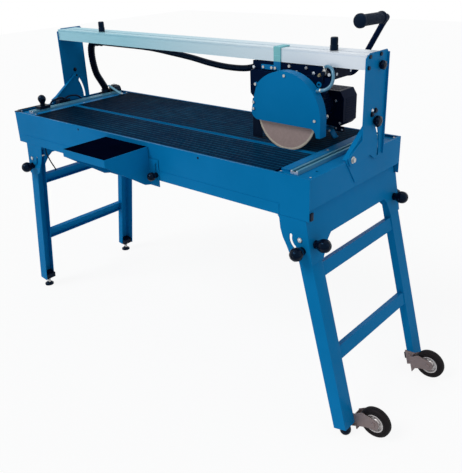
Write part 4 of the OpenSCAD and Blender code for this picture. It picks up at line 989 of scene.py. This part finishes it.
# inlet ring, its nut and the screws along the body's lower edge and right end
bm = bmesh.new()
turned(bm, [(4e-3, 0.2e-3), (9.4e-3, 0.2e-3), (10e-3, 0.8e-3), (10e-3, 2.6e-3), (9e-3, 3.4e-3),
            (5e-3, 3.4e-3), (4e-3, 2.6e-3)], M(670, 283, 227), FRONT, 40, closed=True)
add_solid("inlet_ring", bm, "carriage", blue_paint)
heads("inlet_nut", "carriage", hex_heads, brass, (0.0055, 0.007, 1.2), [((667, BODY_FACE, 257), FRONT)])
heads("body_screws", "carriage", hex_heads, bright_zinc, (0.0038, 0.003, 1.45),
      [((x, BODY_FACE, 262), FRONT) for x in (381, 642, 704)])
heads("body_side_screws", "carriage", dome_heads, bright_zinc, (0.0036, 0.0026, 1.5),
      [((BODY_END, y, z), RIGHT) for y in (312, 400) for z in (262, 312)])

# ---- Bolts on the posts ----

heads("post_bolt", "bridge", dome_heads, bright_zinc, (0.005, 0.005, 1.25), [((POST_FACE, 351, 147), RIGHT)])
heads("post_nuts", "bridge", hex_heads, plain_black, (0.0075, 0.006, 1.3),
      [((POST_FACE, y, z), RIGHT) for y, z in ((349, 134), (372, 143))])
heads("post_inner_nut", "bridge", dome_heads, plain_black, (0.008, 0.006, 1.25),
      [((INNER_POST_FACE, 368, 136), RIGHT)])

# ---- Small parts of the tub ----

heads("wall_grommets", "tub", dome_heads, plain_black, (0.0034, 0.0014, 1.3),
      [((x, 0, -14), FRONT) for x in (-347, 352)])

# clamp and bright bar in the rear left corner
bm = bmesh.new()
slab(bm, [M(x, 538, z) for x, z in ((-800, -7), (-745, -7), (-745, 14), (-752, 28), (-762, 32), (-790, 32),
                                    (-800, 24))], Vector((0, 0.037, 0)), bevel=0.0018)
block(bm, M(-790, 545, 31), M(-768, 568, 35), bevel=0.0008)
add_solid("corner_clamp", bm, "tub", plain_black)
bm = bmesh.new()
folded(bm, route((-779, 520, 37), (-773, 520, 35.6), (-730, 520, 20), (-694, 520, 7), (-686, 520, 4.4),
                 (-672, 520, 4)), (0, 0.014, 0), 0.003, bevel=0.0006)
add_solid("corner_bar", bm, "tub", rail_metal)
heads("corner_screws", "tub", hex_heads, bright_zinc, (0.0045, 0.004, 1.4),
      [((-779, 556, 35), UP), ((-678, 520, 5.4), UP)])

# black strips on the front left corner of the rim and along its left end
bm = bmesh.new()
slab(bm, [M(x, 0.2, z) for x, z in ((-834, -5), (-812, -5), (-806, -1), (-812, 3), (-832, 3), (-836, 0))],
     Vector((0, 0.020, 0)), bevel=0.0014)
slab(bm, [M(-835.5, y, z) for y, z in ((18, -4), (150, -4), (160, 0), (150, 4.2), (18, 4.2))],
     Vector((0.010, 0, 0)), bevel=0.0012)
add_solid("rim_corner_black", bm, "tub", plain_black)

# sawn ends of the fence rails: an open channel, seen from its end
RAIL_LO, RAIL_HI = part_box("fence_rails")
END_DEPTH = 0.0014
bm = bmesh.new()
for x0, x1 in ((732.5, 761.5), (-761.5, -732.5)):
    channel = [(x0, -6), (x1, -6), (x1, 5.6), (x1 - 7, 5.6), (x1 - 8, 1), (x0 + 8, 1), (x0 + 7, 5.6),
               (x0, 5.6)]
    for y in (RAIL_LO.y, RAIL_HI.y):
        outline = [M(x, 0, z) for x, z in channel]
        for point in outline:
            point.y = y - END_DEPTH / 2
        slab(bm, outline, Vector((0, END_DEPTH, 0)), bevel=0.0003)
add_solid("rail_ends", bm, "tub", bright_zinc)
heads("cover_rivets", "tub", dome_heads, zinc, (0.003, 0.0013, 1.3),
      [((side * x, y, -1), UP) for side in (-1, 1) for x in (700, 815) for y in (26, 300, 570)])

bm = bmesh.new()
slab(bm, [M(829.6, y, z) for y, z in ((1, -112), (17, -112), (17, -139), (3, -139), (1, -137))],
     Vector((0.006, 0, 0)), bevel=0.0012)
add_solid("wall_plug", bm, "tub", plain_black)

# ---- Legs: beads of weld, the threads of the feet and the pivots' centres ----

def leg_point(side, x, y, z):
    """A point given across and along a leg from its pivot; side is 1 on the right and -1 on the left."""
    a = math.radians(RIGHT_SPLAY if side > 0 else LEFT_SPLAY)
    out = x * math.cos(a) - z * math.sin(a)
    up = x * math.sin(a) + z * math.cos(a)
    return M((RIGHT_PIVOT_X if side > 0 else LEFT_PIVOT_X) + side * out, y, PIVOT_Z + up)


# crossbars: distances along the leg, height and width
BAR_DROPS, BAR_H, BAR_W = (102, 415), 47.6, 21.4
for side, body, label in ((1, "right_legs", "right_weld"), (-1, "left_legs", "left_weld")):
    beads = [[leg_point(side, x, y, z) for x, z in
              ((-0.6, -drop - BAR_H + 0.2), (BAR_W, -drop - BAR_H - 0.6), (BAR_W + 0.2, -drop + 0.2),
               (-0.6, -drop + 0.2))] for drop in BAR_DROPS for y in (62.4, 533.6)]
    weld = grow(label, line_mesh(*beads), ribbed_tube, blue_paint, sharp=80, Radius=0.0021, Pitch=0.0036,
                Depth=0.35, Groove=0.6, Step=0.0006, Sides=8)
    add_piece(label, weld, body, blue_paint)

STEM = Vector((math.sin(math.radians(LEFT_SPLAY)), 0, math.cos(math.radians(LEFT_SPLAY)))) * 0.032
threads = [[M(-846.4, y, -924), M(-846.4, y, -924) + STEM] for y in (31.8, 564.2)]
threads = grow("foot_threads", line_mesh(*threads), ribbed_tube, zinc, sharp=80, Radius=0.0066,
               Pitch=0.00175, Depth=0.16, Groove=0.9, Step=0.0003, Sides=20)
add_piece("foot_threads", threads, "left_legs", zinc)
heads("pivot_centres", "tub", dome_heads, bright_zinc, (0.0042, 0.0016, 1.25),
      [((x, y, PIVOT_Z), way) for x in (RIGHT_PIVOT_X, LEFT_PIVOT_X)
       for y, way in ((-5.4, FRONT), (601.4, REAR))])

# ---- Studio ----

def add_sun(name, direction, strength, angle):
    """A plain sun lamp that shines from a direction, its angle in degrees."""
    data = bpy.data.lights.new(name, "SUN")
    data.energy = strength
    data.angle = math.radians(angle)
    lamp = link(name, data)
    lamp.rotation_euler = Vector(direction).to_track_quat("Z", "Y").to_euler()


add_sun("key", (-0.35, -1.0, 1.15), 1.25, 25)
add_sun("fill", (1.0, 0.15, 0.5), 0.2, 40)

# the world: a soft sky for the light, plain white where the camera looks past the machine
world = bpy.data.worlds.new("studio")
bpy.context.scene.world = world
world.use_nodes = True
tree = world.node_tree
tree.nodes.clear()


def backdrop(color, strength):
    node = tree.nodes.new("ShaderNodeBackground")
    node.inputs["Color"].default_value = (*color, 1)
    node.inputs["Strength"].default_value = strength
    return node.outputs[0]


def larger(a, b):
    node = tree.nodes.new("ShaderNodeMath")
    node.operation = "MAXIMUM"
    tree.links.new(a, node.inputs[0])
    tree.links.new(b, node.inputs[1])
    return node.outputs[0]


rays = tree.nodes.new("ShaderNodeLightPath").outputs
white_share = larger(larger(rays["Is Camera Ray"], rays["Is Transmission Ray"]), rays["Is Glossy Ray"])
both_skies = tree.nodes.new("ShaderNodeMixShader")
tree.links.new(white_share, both_skies.inputs["Fac"])
tree.links.new(backdrop((0.93, 0.97, 1.0), 0.48), both_skies.inputs[1])
tree.links.new(backdrop((1, 1, 1), 1.0), both_skies.inputs[2])
tree.links.new(both_skies.outputs[0], tree.nodes.new("ShaderNodeOutputWorld").inputs["Surface"])

# the floor: matt and pale, and mostly white to the camera
FLOOR_HALF, FLOOR_DROP, FLOOR_GLOW = 12, 0.0005, 0.9
floor_mesh = bpy.data.meshes.new("studio_floor")
corners = [(x * FLOOR_HALF, y * FLOOR_HALF, 0) for x, y in ((-1, -1), (1, -1), (1, 1), (-1, 1))]
floor_mesh.from_pydata(corners, [], [(0, 1, 2, 3)])
floor = link("studio_floor", floor_mesh)
floor.location.z = -FLOOR_DROP
pale = Shader("studio floor")
pale.set(color=(0.9, 0.9, 0.9), rough=0.9, specular=0.1)
glow = pale.add("ShaderNodeEmission")
glow.inputs["Color"].default_value = (1, 1, 1, 1)
glow.inputs["Strength"].default_value = 1.0
seen = pale.add("ShaderNodeLightPath").outputs["Is Camera Ray"]
surface = pale.add("ShaderNodeMixShader")
pale.join(pale.math("MULTIPLY", seen, FLOOR_GLOW), surface.inputs["Fac"])
pale.join(pale.bsdf.outputs[0], surface.inputs[1])
pale.join(glow.outputs[0], surface.inputs[2])
pale.join(surface.outputs[0], pale.tree.nodes["Material Output"].inputs["Surface"])
floor_mesh.materials.append(pale.mat)

bpy.context.scene.view_settings.view_transform = "Standard"
